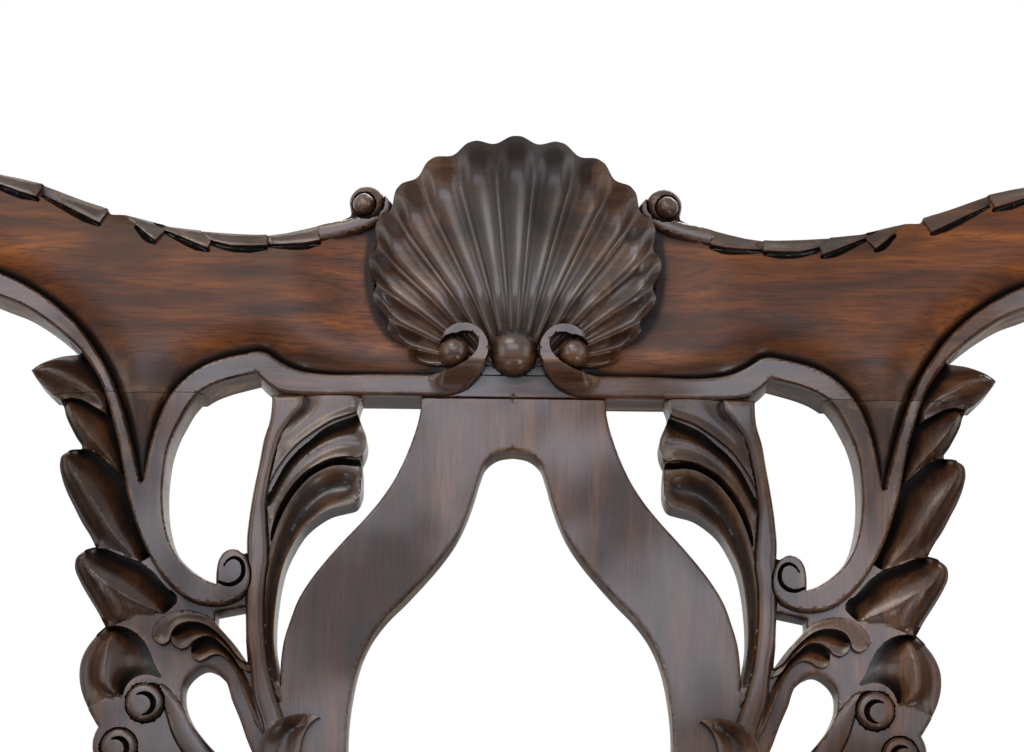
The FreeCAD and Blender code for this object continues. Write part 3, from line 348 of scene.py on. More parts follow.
# Fillet from the last leaf up to the small scroll beside the shell
addBand([(67.5, 57.2, 2.2), (60.5, 58.6, 2.6), (54, 60.4, 3), (48.4, 62.8, 3.4), (44.6, 66.4, 3.8),
         (44.4, 70, 4)],
        [2.9, 2.8, 2.6, 2.2, 1.6], 1.4)
addDome(topScroll, topScrollRadius, 0.2, 3.0)
addDome((52.2, 67.5), 4.1, 0.8, 5.4)

# Husks that hang beside the outer band, lowest first, each run starts where the one before it ends
husks = [
    {"outer": [(135.3, -79.9), (139.4, -83.6), (141.9, -87.3), (143.4, -91.3), (143.7, -96.3), (142.7, -101.3),
               (140.4, -106.6)],
     "tail": [(137.8, -105.2), (133.3, -103.5), (129, -102.5)],
     "inner": [(127.5, -98.8), (124.3, -96.1), (120.3, -95.4), (116.3, -96.4), (118.4, -93.1), (120.3, -88.7),
               (122.8, -84.4), (126.6, -81.1), (130.9, -79.7)],
     "ridges": [[(132.9, -81.9, -1), (134, -86.2, 1.6), (134.8, -91.2, 2.8), (134.9, -95.9, 3.2),
                 (133.8, -99.6, 3), (131.3, -102, 2)]]},
    {"outer": [(139.8, -53.1), (144.1, -54.2), (146.3, -56), (146.8, -59.8), (145.3, -63.5), (142.4, -68.5),
               (138.9, -73.9), (135.3, -79.9)],
     "tail": [(131.7, -78.5), (127.7, -77.1), (123.8, -75.7), (119.8, -75), (115.8, -74.9)],
     "inner": [(112, -70), (116, -66), (121.6, -60.2), (127, -57), (130.6, -56), (135.4, -54.1)],
     "ridges": [[(143.6, -57, 0.4), (142.1, -59.7, 1.8), (139, -63.1, 3), (135.5, -65.7, 3.6),
                 (131.4, -68.4, 3.6), (127.3, -70.7, 3), (122.9, -72.7, 2), (118.5, -74.3, 1)],
                [(136.2, -66.6, 3.4), (133.6, -70.4, 3.2), (131.9, -74, 2.4), (130.8, -77.2, 1.2)]]},
    {"outer": [(147.6, -19.5), (151, -20), (152.9, -21.3), (153.5, -24.4), (152.6, -28.8), (150.3, -34.6),
               (148.1, -38.7), (145.2, -44.1), (142.3, -48.5), (139.8, -52.9)],
     "tail": [(135.4, -53.2), (131.3, -54.5), (127.9, -56.6), (124.6, -57.6)],
     "inner": [(120, -54), (124, -46), (128, -36), (132, -28), (137.2, -24), (140.8, -21), (144.2, -19.6)],
     "ridges": [[(150.9, -22.8, 0.2), (149.4, -26, 1.6), (146.5, -29.8, 2.8), (143.6, -33.9, 3.4),
                 (140.7, -38.3, 3.6), (137.9, -42.7, 3.4), (135, -47.1, 2.8), (131.8, -51.1, 2),
                 (127.6, -55.4, 1)]]},
    {"outer": [(153.2, -1.9), (153, -4.7), (151.9, -8.1), (150, -11.9), (147.8, -15.7), (146.3, -17.7),
               (146.3, -19.1)],
     "tail": [(143.6, -19), (140.5, -20.4), (137.4, -22.8), (134.5, -25.8), (132, -28.4)],
     "inner": [(130, -24), (132, -16), (134, -9), (138, -4), (143.6, -1.6), (147.1, -0.4), (150.5, -0.4)],
     "ridges": [[(151.4, -4, 0.4), (149.9, -6.2, 2), (148.1, -9.1, 2.8), (145.9, -12.2, 3.2), (143.1, -15.6, 3),
                 (140.2, -18.7, 2.4), (137, -22.1, 1.6), (134, -25.6, 0.8)]]},
    {"outer": [(147.5, 14.1), (151.1, 13.7), (154.5, 13.2), (157.9, 12.2), (161.2, 10.8), (164.7, 8.3),
               (162.7, 5.3), (160.1, 2.6), (157.3, 0), (153.8, -2.2)],
     "tail": [(150, -1.4), (146.5, -2.2), (142.5, -4.4), (138, -7)],
     "inner": [(135, -4), (138, 4), (142, 10)],
     "ridges": [[(162, 8.2, 0.2), (158.4, 8.1, 1.6), (154.2, 6.1, 2.8), (150, 3.4, 3), (145.8, 1.3, 2.4),
                 (142.7, -0.7, 1.4), (139.4, -4, 0.2)]]},
]
huskHeights = {"silhouette": -2.4, "tail": 0.6, "shadow": -6.5}
for husk in husks:
    tail = husk["outer"][-1:] + husk["tail"]
    inner = tail[-1:] + husk["inner"] + husk["outer"][:1]
    addLeaf(loopOf(raisedLine(husk["outer"], huskHeights["silhouette"]),
                   raisedLine(tail, huskHeights["silhouette"] + 1.4, huskHeights["tail"]),
                   raisedLine(inner, huskHeights["shadow"], huskHeights["shadow"] + 1.5)), husk["ridges"])

# Leafy stem beside the C-scroll
shaftRight = [(71.4, -0.1), (71.7, -3.7), (74, -6.9), (76.3, -10), (78.2, -13.1), (79.4, -16.6), (80, -19.4),
              (80.6, -22.8), (82, -30), (82.8, -38), (82.2, -46), (81.6, -57), (82.4, -63.8), (82.6, -70.5),
              (82.4, -77.3), (81.8, -83.9), (80.6, -92.3), (78.3, -100.6), (75.8, -107.9), (74, -113)]
shaftLeft = [(88.9, -54.4), (88.8, -63), (88.7, -72), (88.5, -77), (88, -83.7), (86.9, -88.8), (86.2, -94),
             (84.9, -104), (82.3, -111.2), (81, -118), (74, -113)]
lobeOneLow = [(53, -5.7), (57, -7), (61.4, -8.6), (64.7, -10.6), (68.7, -13.4), (72, -16), (75.3, -19.3),
              (77.6, -22.5), (80.2, -26.6), (81.8, -30.1), (83.3, -35.6)]
lobeTwoTop = [(83, -36), (81, -32.5), (79.1, -28.7), (76.9, -24.5), (74.6, -21.4), (71.3, -17.9), (68, -15.1),
              (64.4, -11.9), (60.7, -9.8), (56.3, -8), (52.4, -6.6)]
lobeTwoLow = [(53, -21.6), (54.3, -21.3), (58.4, -21.4), (61.7, -22.1), (65.1, -23.7), (68.4, -25.8),
              (71.7, -28.9), (74.9, -32.7), (76.9, -36.5), (78.8, -40.6), (80, -45.1), (80.8, -50.2)]
lobeThreeTop = [(52.2, -26.3), (54.9, -24.9), (58.3, -24.3), (61.7, -24.8), (65, -26.3), (68.3, -28.5),
                (71.6, -32), (74.8, -36.5), (77.4, -41.6), (79.6, -47.5), (80.8, -51.9),
                *shaftRight[11:18], (76.4, -104)]
addLeaf(loopOf(raisedLine([(81, -21), *shaftRight[6::-1]], 1.4, -1.6),
               withHeight([(71.4, -0.1), (51.6, -0.1)], -0.6), raisedLine([(51.6, -0.1), (53, -5.7)], 0.2, 1.6),
               raisedLine(lobeOneLow, 2.6, 1.8), withHeight([(83.3, -35.6), (81, -21)], 1.8, 1.4)),
        [[(55, -3.4, 1), (62, -5.6, 1.3), (69, -9.4, 1.1), (75, -15, 1.2)]])
addLeaf(loopOf(raisedLine(lobeTwoTop, -2, -4.5),
               raisedLine([(52.4, -6.6), *leafInner[2:5], (51, -20.4), (53, -21.6)], -2, 1.2),
               raisedLine(lobeTwoLow, 2.4, 2), withHeight([(80.8, -50.2), (83, -36)], 2, -2)),
        [[(53, -14.5, 0.6), (60, -15.6, 0.8), (66.5, -18.6, 0.9), (72.5, -24.2, 0.9), (77.5, -32, 0.9),
          (80.4, -41, 1.2)]])
addGroove([(51, -23.2), (54.6, -23), (58.4, -22.7), (61.7, -23.4), (65, -25), (68.4, -27.1), (71.7, -30.4),
           (74.9, -34.6), (77.2, -39), (79.2, -44), (80.6, -50)], [1.2, 1.3, 1.4, 1.3, 0.8], 4.5)
addLeaf(loopOf(raisedLine(lobeThreeTop, 1.6, 0.8),
               raisedLine([(76.4, -104), (76.6, -98.7)] + leafInnerLow[-2:2:-1], 0.2, 1.2),
               withHeight([(51.1, -33.1), (50.9, -29), (52.2, -26.3)], 1.2, 1.6)),
        [[(56, -31, -2.4), (62, -32, -3.2), (68, -36.5, -3.2), (73, -43.5, -2.8), (77, -53, -2.2),
          (79.6, -64, -1.6), (80.6, -76, -1.4), (79.9, -88, -1), (78, -97, -0.6)]])
addPlateau(loopOf(smoothLine(stemOuter), smoothLine(shaftLeft), smoothLine(shaftRight)[::-1]),
           lambda spots: np.interp(-spots[:, 1], [0, 20, 60, 120], [1.4, 2.4, 2.6, 2.2]), 0.4, 2.4)

# The loop's lower strand with its two discs, then three curled lobes, one over the other
lobeUpper = [(119.5, -83), (119.3, -80.4), (117, -77.3), (113.1, -74.9), (108.8, -74.2), (103.8, -75.1),
             (99.7, -77.1), (96.3, -80.8), (91.8, -85.7), (87.2, -91.7)]
lobeMiddle = [(113.2, -82), (111.6, -79.6), (108.7, -78.2), (105, -78), (101.3, -79.1), (97.5, -81.8),
              (93.4, -86.1), (90, -90.1), (86.8, -94.4)]
lobeCurls = [
    {"top": [(106.3, -87.6), (105.8, -85.2), (103.8, -83.5), (101.2, -82.8), (98.2, -83.6), (94.7, -86.8),
             (91.3, -91.1), (87.8, -96.7), (84.9, -104), (82.3, -111.2), (81.2, -115.5)],
     "low": [(83.3, -112.6), (86.1, -106.6), (88.6, -100.7), (91.1, -94.7), (94.3, -90.4), (97.3, -88.8),
             (99.6, -89.2), (101.6, -90.5), (103.5, -91.2), (105.6, -89.9)]},
    {"top": lobeMiddle,
     "low": [(89.2, -93.4), (92.6, -89.1), (96.1, -85.5), (98.8, -83.3), (101.5, -82.7), (104.2, -83.5),
             (106.1, -84.9), (107.4, -86.4), (110, -87.1), (112.4, -85.3)]},
    {"top": lobeUpper, "low": [*lobeMiddle[-2::-1], (113.8, -84.6), (115.7, -85.7), (118.1, -84.7)]},
]
addBand([(101, -124, 0.4), (107.6, -115.4, 0.6), (112.2, -106, 1), (116.4, -101, 1.6), (120, -100, 2)],
        [3.6, 3.8, 3.4, 2.6, 1.6], 1.2)
for disc, radius, top in (((121.2, -105), 6.6, 2.8), ((129.3, -119.7), 6.3, 2.2)):
    addPlateau(circleLine(disc, radius, steps=32)[:-1], top, top - 4.2, 1.8)
    addGroove(circleLine((disc[0] + 0.5, disc[1] - 0.7), 0.54 * radius, 62, 205), [0.3, 0.9, 1.1, 0.9, 0.3], 3)
for lobe in lobeCurls:
    deep = 0.4 if lobe["top"] is lobeUpper else -3.2
    low = lobe["top"][-1:] + lobe["low"] + lobe["top"][:1]
    addLeaf(loopOf(raisedLine(lobe["top"], deep, 1.2), raisedLine(low, 1.4, 3)))

# Pointed leaf that laps onto the strap
addLeaf(loopOf(raisedLine([(74, -138), (80, -133), (83.8, -127), (83.4, -121.1), (82.2, -116.5), (80, -113.2),
                           (76.7, -110.8), (72.8, -109.1), (67.9, -108.4), (63.2, -109.4)], 1, 3.2),
               raisedLine([(63.2, -109.4), (65.5, -111), (67.4, -113.7), (68.6, -117), (69.2, -121),
                           (70.4, -129), (74, -138)], 3.4, 1.4)),
        [[(67.6, -111.4, 1.4), (72.4, -113.2, -0.8), (75.6, -118, -1.4), (76.4, -125, -1.2),
          (75.6, -132, -0.2)]])

# One band makes the lower rim of the crest, the outer rim and the C-scroll where both meet
band = {"places": [0, 74, 92, 110], "heights": [1.3, 1.5, 2.8, 3.4], "foot": 0.2, "roll": 1.1,
        "curlRise": 7.2, "curlRoll": 0.4}


def curledEnd(spots, low, high):
    # 1 on the curled end beside the ball, 0 along the band
    return softStep(low, high, spots[:, 1]) * softStep(-30, -23, -spots[:, 0])


def bandTop(spots):
    return np.interp(spots[:, 0], band["places"], band["heights"]) + band["curlRise"] * curledEnd(spots, 1, 12)


def bandRoll(spots):
    return band["roll"] - (band["roll"] - band["curlRoll"]) * curledEnd(spots, 4, 9)


voluteInner = [(25, 7.9), (19.3, 9.8), (15, 12.4), (12.6, 15.8), (12.4, 18.6), (14, 20.5), (17, 21),
               (19.5, 20.2), (22.6, 17.4), (24.8, 14)]
voluteOuter = [(24.8, 14), (25.4, 16.7), (24.3, 20.7), (21.1, 23.6), (16.8, 24.6), (11.9, 22.8), (9.1, 19.2),
               (8.3, 15.3), (9.6, 10.8), (12.5, 6), (15.9, 2.7), (20.2, 0.9), (25.6, 0.4), (31.7, 0.3)]
addPlateau(loopOf(smoothLine(bandLower), smoothLine(bandLowerScroll), smoothLine(scrollVolute)[::-1],
                  smoothLine(scrollOuter)[::-1], smoothLine([(241, 42), (238, 52)]),
                  smoothLine(scrollInner), smoothLine(bandUpperScroll)[::-1], smoothLine(bandUpper)[::-1],
                  smoothLine(voluteInner), smoothLine(voluteOuter)),
           bandTop, band["foot"], bandRoll, (0.12, 0.4, 1.1))
addGroove([(95.9, -58.6), (94.7, -57.1), (93, -56.4), (91, -57.1), (89.8, -59.5), (90.2, -62.9), (92.1, -64.9),
           (94.7, -65.6), (97.8, -64.6)], [0.3, 0.7, 0.8, 0.8, 0.5], 3.4)
addBand([(224, 47, 2.6), (238, 46.9, 2.8)]
        + [(*row, 2.8 + 0.16 * i) for i, row in enumerate(spiralLine(ear, -96, 285, 14.4, 4.4))],
        [4.4, 4.4, 4.2, 3.8, 3.2, 2.6, 2.2], 2)
addDome(ear, 3.8, 2, 5.6)

# Buttons in the curled ends of the lower band and the ball between them
addDome((20.4, 15), 5.2, 4, 9.8)
addDome((0, 15.6), 8.2, 2, 10.2)
print("carving has", len(carving), "forms")


def carvedHeight(spots, border, edgeRoll=1.0, edgeDrop=0.8):
    # height of the worked face, border is the distance to the nearest sawn edge
    height = -edgeDrop * (1 - quarterRound(border / edgeRoll))
    for form in carving:
        near = np.flatnonzero(np.all((spots > form["low"]) & (spots < form["high"]), axis=1))
        if len(near):
            away = nearLine(spots[near], closed(form["edge"])[:, :2])[0]
            inside = insideLoop(spots[near], form["edge"]) | (away < 0.03)
            if inside.any():
                pick = near[inside]
                height[pick] = form["shape"](spots[pick], away[inside], height[pick])
    return height


def cellsOf(spots, size):
    cells = np.floor(spots / size).astype(int)
    return cells[:, 0] * 100003 + cells[:, 1]


def blurred(grid, reach):
    for axis in (0, 1):
        for turn in range(2):
            padded = np.pad(grid, [(reach + 1, reach) if i == axis else (0, 0) for i in (0, 1)], mode="edge")
            total = np.cumsum(padded, axis=axis)
            size = grid.shape[axis]
            ahead = np.take(total, np.arange(size) + 2 * reach + 1, axis=axis)
            behind = np.take(total, np.arange(size), axis=axis)
            grid = (ahead - behind) / (2 * reach + 1)
    return grid


def sideways(loop):
    # unit steps to the right along a closed outline
    run = np.roll(loop, -1, axis=0) - np.roll(loop, 1, axis=0)
    run /= np.maximum(np.linalg.norm(run, axis=1), 1e-9)[:, None]
    return np.column_stack((run[:, 1], -run[:, 0]))


# what the boards' meshes keep, in mm apart from the shares and the angle
board = {"seam": 0.02, "seamClear": 0.2, "joint": 0.35, "jointCloseness": 4.0, "edgeRows": (0.35, 1.0),
         "wallFoot": 0.3, "backStep": 9.0, "backClear": 2.5, "underShell": 0.94, "underLevel": -1.0,
         "sharp": 38}
# painted shade darkens the face where it lies below its blurred copy, worn pale spots with a painted highlight
# show where it stands above
paintedShadeAndWear = {"cell": 0.9, "near": 2, "far": 6, "nearDepth": 1.8, "farDepth": 4.0, "farShare": 0.35,
          "wearAndHighlightHeight": 1.3, "openLevel": -3.0, "shellShadowRise": 4.0, "back": 0.15}


def carvedPlate(name, edge, holes, thick, finest, coarse, fineAbove):
    # right half of a board with its worked face, mirrored over, with sawn walls and a flat back
    loops = [edge] + holes
    border = [closed(loop)[:, :2] for loop in loops]
    low, high = edge.min(0), edge.max(0)

    def onBoard(spots):
        keep = insideLoop(spots, edge)
        for hole in holes:
            keep &= ~insideLoop(spots, hole)
        return keep

    def filled(rows, links, near):
        found, _, faces, *_ = delaunay_2d_cdt([Vector(row) for row in rows], links, [], 0, near)
        found = np.array([tuple(spot) for spot in found])
        faces = np.array([face for face in faces if len(face) == 3])
        return found, faces[onBoard(found[faces].mean(1))]

    runs = []                                 # free edges, and the joint that closes to a hairline
    for line in border:
        onSeam, atJoint = [(np.abs(line[:-1, i]) < near) & (np.abs(line[1:, i]) < near)
                           for i, near in enumerate((board["seam"], board["joint"]))]
        kind = np.where(onSeam, 0, np.where(atJoint, 2, 1))
        breaks = np.flatnonzero(np.diff(kind)) + 1
        for part in np.split(np.arange(len(kind)), breaks):
            if kind[part[0]]:
                closeness = board["jointCloseness"] if kind[part[0]] == 2 else 1.0
                runs.append((line[part[0]:part[-1] + 2], closeness))

    def borderAway(spots):
        return np.min([nearLine(spots, line)[0] * closeness for line, closeness in runs], axis=0)

    points = []
    links = []
    for line in border + [line[:, :2] for form in carving for line in form["lines"]]:
        keep = np.all((line > low - 0.01) & (line < high + 0.01), axis=1)
        start = sum(len(rows) for rows in points)
        points.append(line)
        links += [(start + i, start + i + 1) for i in range(len(line) - 1) if keep[i] and keep[i + 1]]
    for form in carving:                      # a second row just outside keeps the walls steep
        loop = form["edge"][:, :2]
        after = np.roll(loop, -1, axis=0)
        turn = 1 if (loop[:, 0] * after[:, 1] - after[:, 0] * loop[:, 1]).sum() > 0 else -1
        foot = loop + turn * board["wallFoot"] * sideways(loop)
        points.append(foot[onBoard(foot) & (foot[:, 0] > board["seamClear"])])
    rowed = [(loop[:, :2], board["edgeRows"]) for loop in loops]
    rowed += [(form["edge"][:, :2], form["rows"]) for form in carving]
    for loop, shifts in rowed:
        for shift in shifts:                  # rows along an edge keep its rounding even
            for side in (shift, -shift):
                row = loop + side * sideways(loop)
                row = row[onBoard(row) & (row[:, 0] > board["seamClear"])]
                points.append(row[nearLine(row, closed(loop))[0] > 0.9 * shift])
    lines = np.vstack(points)

    def lattice(step, above, below):
        rows = np.arange(max(low[1], below), min(high[1], above), step * 0.866)
        columns = np.arange(0.5 * step, high[0], step)
        spots = np.array([(x + 0.5 * step * (j % 2), y) for j, y in enumerate(rows) for x in columns])
        taken = set(cellsOf(lines, 0.55 * step).tolist())
        return spots[[cell not in taken for cell in cellsOf(spots, 0.55 * step).tolist()]]

    inner = np.vstack([lattice(finest, 1e9, fineAbove)]
                      + ([lattice(coarse, fineAbove, -1e9)] if low[1] < fineAbove else []))
    inner = inner[onBoard(inner)]
    spots, faces = filled(np.vstack((lines, inner)), links, 1e-3)
    used = np.unique(faces)
    index = np.full(len(spots), -1)
    index[used] = np.arange(len(used))
    spots, faces = spots[used], index[faces]
    spots[np.abs(spots[:, 0]) < board["seam"], 0] = 0
    height = carvedHeight(spots, borderAway(spots))
    underShell = (shellReach(spots) ** 2 < board["underShell"]) & (spots[:, 1] > 30)
    height[underShell] = np.minimum(height[underShell], board["underLevel"])

    cell = paintedShadeAndWear["cell"]
    gridU = np.arange(0, high[0] + cell, cell)
    gridV = np.arange(max(low[1], fineAbove) - 3, high[1] + cell, cell)
    grid = np.array([(u, v) for v in gridV for u in gridU])
    level = carvedHeight(grid, borderAway(grid))
    level[~onBoard(grid)] = paintedShadeAndWear["openLevel"]
    # the shell counts as raised ground here, so the field around it gets a painted shadow
    level[(shellReach(grid) < 1) & (grid[:, 1] > 20)] += paintedShadeAndWear["shellShadowRise"]
    level = level.reshape(len(gridV), len(gridU))
    mirroredLevel = np.hstack((level[:, :0:-1], level))
    near = blurred(mirroredLevel, paintedShadeAndWear["near"])[:, level.shape[1] - 1:]
    far = blurred(mirroredLevel, paintedShadeAndWear["far"])[:, level.shape[1] - 1:]
    row = np.clip(((spots[:, 1] - gridV[0]) / cell).round().astype(int), 0, len(gridV) - 1)
    column = np.clip((spots[:, 0] / cell).round().astype(int), 0, len(gridU) - 1)
    # painted shade: darker where the face lies below its blurred copy, in hollows and at the foot of raised
    # work
    groove = np.clip((near[row, column] - height) / paintedShadeAndWear["nearDepth"], 0, 1)
    groove += paintedShadeAndWear["farShare"] * np.clip((far[row, column] - height) / paintedShadeAndWear["farDepth"], 0, 1)
    # pale worn high spots, partly a painted highlight on edges and ridges
    wearAndHighlight = np.clip((height - near[row, column]) / paintedShadeAndWear["wearAndHighlightHeight"], 0, 1)
    below = spots[:, 1] < gridV[0] + 2        # plain board below the carving
    groove[below] = 0
    wearAndHighlight[below] = 0
    fieldEdge = carving[0]["edge"][:, :2]
    dull = insideLoop(spots, fieldEdge) & (np.abs(height - fieldShape(spots, None, None)) < 0.05)
    dull = dull * softStep(-6, 24, spots[:, 1]) * softStep(0.5, 3, nearLine(spots, closed(fieldEdge))[0])

    # sawn walls and the back
    sides = np.vstack((faces[:, [0, 1]], faces[:, [1, 2]], faces[:, [2, 0]]))
    key = np.sort(sides, axis=1)
    _, first, count = np.unique(key, axis=0, return_index=True, return_counts=True)
    rim = sides[first[count == 1]]
    seam = (spots[rim[:, 0], 0] == 0) & (spots[rim[:, 1], 0] == 0)
    wall = rim[~seam]
    rimSpots = np.unique(rim)
    backIndex = np.full(len(spots), -1)
    backIndex[rimSpots] = np.arange(len(rimSpots))
    sparse = lattice(board["backStep"], 1e9, -1e9)
    sparse = sparse[onBoard(sparse)]
    sparse = sparse[borderAway(sparse) > board["backClear"]]
    rimLinks = [tuple(backIndex[pair]) for pair in rim.tolist()]
    backSpots, backFaces = filled(np.vstack((spots[rimSpots], sparse)), rimLinks, 1e-6)
    count = len(spots)
    flat = np.vstack((np.column_stack((spots, height)),
                      np.column_stack((backSpots, np.full(len(backSpots), -thick)))))
    quads = [(b, a, count + backIndex[a], count + backIndex[b]) for a, b in wall.tolist()]
    half = [tuple(face) for face in faces.tolist()] + quads
    half += [(a + count, c + count, b + count) for a, b, c in backFaces.tolist()]
    other = np.arange(len(flat)) + len(flat)
    onSeam = flat[:, 0] == 0
    other[onSeam] = np.flatnonzero(onSeam)
    twin = flat * (-1, 1, 1)
    mesh = bpy.data.meshes.new(name)
    mesh.from_pydata(backPoints(np.vstack((flat, twin))).tolist(), [],
                     half + [tuple(other[i] for i in reversed(face)) for face in half])
    for label, values, behind in (("groove", groove, paintedShadeAndWear["back"]), ("wearAndHighlight", wearAndHighlight, 0), ("dull", dull, 0)):
        values = np.concatenate((values, np.full(len(backSpots), float(behind))))
        store = mesh.attributes.new(label, "FLOAT", "POINT")
        store.data.foreach_set("value", np.tile(values, 2).astype(np.float32))
    sawn = np.zeros(2 * len(half), np.int32)
    sawn[len(faces):len(faces) + len(quads)] = 1
    sawn[len(half) + len(faces):len(half) + len(faces) + len(quads)] = 1
    mesh.polygons.foreach_set("material_index", sawn)
    piece = linked(name, mesh)
    work = bmesh.new()
    work.from_mesh(mesh)
    bmesh.ops.delete(work, geom=[vert for vert in work.verts if not vert.link_faces], context="VERTS")
    work.to_mesh(mesh)
    work.free()
    mesh.shade_smooth()
    mesh.set_sharp_from_angle(angle=math.radians(board["sharp"]))
    print(name, len(mesh.vertices), "points")
    return piece


# Crest rail
ovalTop = [(shellOval["backing"] * shellOval["halfWidth"] * math.cos(math.radians(a)),
            shellOval["lift"] + shellOval["backing"] * shellOval["halfHeight"] * math.sin(math.radians(a)))
           for a in range(30, 91, 5)]
ovalTop[-1] = (0.0, ovalTop[-1][1])
crestEdge = loopOf(
    straightLine([(0, 0.1), (72.3, 0.1)]), smoothLine(bandLower[2:]),
    smoothLine(bandLowerScroll[:4] + [(106, 0.1)]), straightLine([(106, 0.1), (157.4, 0.1)]),
    smoothLine([(157.4, 0.1), *husks[4]["outer"][7:4:-1]]), smoothLine(husks[4]["outer"][5::-1]),
    smoothLine(scrollOuter[2:9])[::-1], straightLine([(207, 42), (241, 42)]),
    smoothLine([(241, 42), (ear[0] + earRadius * 0.7, ear[1] - earRadius * 0.75), (ear[0] + earRadius, ear[1]),
                (ear[0] + earRadius * 0.55, ear[1] + earRadius * 0.85), (250, 85)]),
    smoothLine(topEdge[:10]), smoothLine([topEdge[9], (140.2, 63.8)] + topEdge[10:]),
    circleLine(topScroll, topScrollRadius, -32, 190, 24), smoothLine(ovalTop),
    straightLine([ovalTop[-1], (0, 0.1)]))
crest = carvedPlate("crest_carving", crestEdge, [], chairBack["crestThick"], finest=0.95, coarse=2.5,
                    fineAbove=-50)

# Splat
splatEdge = loopOf(
    straightLine([(0, -472.0), (66, -472.0)], 4), straightLine([(66, -472.0), (66, -392)], 4),
    smoothLine([(134.5, -127.5), (124, -141), (107, -160), (88, -181), (70, -203), (56, -227), (46, -262),
                (51, -302), (60, -350), (66, -392)], 2)[::-1],
    smoothLine([(136.5, -113.2), (138, -117.1), (137.8, -121.8), (134.5, -127.5)])[::-1],
    smoothLine([(135.5, -79.7)] + husks[0]["outer"][1:] + [(136.5, -113.2)])[::-1],
    smoothLine([(139.9, -52.8)] + husks[1]["outer"][1:-1] + [(135.5, -79.7)])[::-1],
    smoothLine([(146.3, -19.3)] + husks[2]["outer"][1:-1] + [(139.9, -52.8)])[::-1],
    smoothLine([(157.2, -0.1), (154.5, -1.9), (153.2, -4)] + husks[3]["outer"][2:-1] + [(146.3, -19.3)])[::-1],
    straightLine([(157.2, -0.1), (0, -0.1), (0, -472.0)]))
over = 5.0                                    # openings under the crest are cut past the joint
splatHoles = [
    loopOf(straightLine([(51.5, over), (31.6, over), (31.6, -5)]), smoothLine(strapOuter),
           smoothLine(leafInnerLow)[::-1], smoothLine(leafInner)[::-1],
           straightLine([(51.5, -0.6), (51.5, over)])),
    loopOf(straightLine([(106.2, over), (82, over), (82, -0.1)]), smoothLine(stemOuter),
           smoothLine([(88.9, -54.4), *scrollVolute[4:]]), smoothLine(bandLowerScroll[4:])[::-1],
           straightLine([(106.2, 0), (106.2, over)])),
    loopOf(straightLine([(98.8, -74.6), (88.9, -72.6), (88.4, -84)]), smoothLine([(88.4, -84), (87.6, -91.4)]),
           smoothLine([(87.6, -91.4), (91.8, -85.7), (95.6, -81.4), (98.8, -77.6), (98.8, -74.6)])),
    loopOf(smoothLine([(98, -94.2), (101.7, -92.9), (105.9, -95), (108.5, -98.4), (108.9, -104), (106.7, -110),
                       (101.2, -117.2), (97.4, -121.1), (87, -132), (76, -141.5)]),
           smoothLine([(76, -141.5), (85.2, -121), (87, -117), (89.5, -110.4), (92.4, -103.8), (94.9, -97.2),
                       (98, -94.2)])),
    loopOf(smoothLine([(86, -152), (97, -158), (92, -170), (74, -190), (56, -212), (41, -229)], 2),
           smoothLine([(41, -229), (50, -206), (63, -182), (76, -160), (86, -152)], 2)),
    loopOf(smoothLine([(37, -306), (46, -330), (52, -362), (53, -392)], 2),
           smoothLine([(53, -392), (46, -372), (38, -342), (37, -306)], 2)),
    loopOf(smoothLine(heartEdge), straightLine([(0, -248), (0, -18.1)])),
    loopOf(smoothLine([(0, -282), (9, -292), (19, -320), (27, -355), (28, -386), (19, -408), (0, -416)], 2),
           straightLine([(0, -416), (0, -282)])),
]
splat = carvedPlate("splat_carving", splatEdge, splatHoles, chairBack["splatThick"], finest=0.95, coarse=3.0,
                    fineAbove=-142)

for piece, node in ((crest, "crest_rail"), (splat, "splat")):
    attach(piece, "frame")
    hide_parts(node)


# Node trees, for shaped pieces and for finishes

def put(tree, kind, *values, **settings):
    # one node, its settings, and its inputs by place or by name, each a constant or another node's output
    node = tree.nodes.new(kind)
    named = settings.pop("named", {})
    for key, value in settings.items():
        setattr(node, key, value)
    for key, value in list(enumerate(values)) + list(named.items()):
        if isinstance(value, bpy.types.NodeSocket):
            tree.links.new(value, node.inputs[key])
        elif value is not None:
            node.inputs[key].default_value = value
    return node


def calc(tree, operation, first, second=None, third=None):
    return put(tree, "ShaderNodeMath", first, second, third, operation=operation).outputs[0]


def smooth(tree, value, low, high, start=0.0, end=1.0):
    return put(tree, "ShaderNodeMapRange", value, low, high, start, end,
               interpolation_type="SMOOTHSTEP").outputs[0]


def shapedPiece(name, tree, inputs):
    # runs a geometry tree once and keeps its mesh
    holder = linked(name + "_tree", bpy.data.meshes.new(name + "_tree"))
    modifier = holder.modifiers.new("shape", "NODES")
    modifier.node_group = tree
    for item in tree.interface.items_tree:
        if item.in_out == "INPUT" and item.name in inputs:
            modifier[item.identifier] = inputs[item.name]
    holder.update_tag()
    mesh = bpy.data.meshes.new_from_object(holder.evaluated_get(bpy.context.evaluated_depsgraph_get()))
    bpy.data.objects.remove(holder)
    mesh.name = name
    print(name, len(mesh.vertices), "points")
    return linked(name, mesh)


def geometryTree(name, sockets):
    tree = bpy.data.node_groups.new(name, "GeometryNodeTree")
    tree.interface.new_socket("Geometry", in_out="OUTPUT", socket_type="NodeSocketGeometry")
    for label, kind in sockets:
        tree.interface.new_socket(label, in_out="INPUT", socket_type=kind)
    return tree, put(tree, "NodeGroupInput").outputs


# Finishes, with groups shared by every wooden piece
def emptyMaterial(name):
    material = bpy.data.materials.new(name)
    material.use_nodes = True
    tree = material.node_tree
    tree.nodes.clear()
    return material, tree, put(tree, "ShaderNodeTexCoord").outputs["Object"]


def surface(tree, inputs):
    shader = put(tree, "ShaderNodeBsdfPrincipled", named=inputs)
    put(tree, "ShaderNodeOutputMaterial", shader.outputs[0])


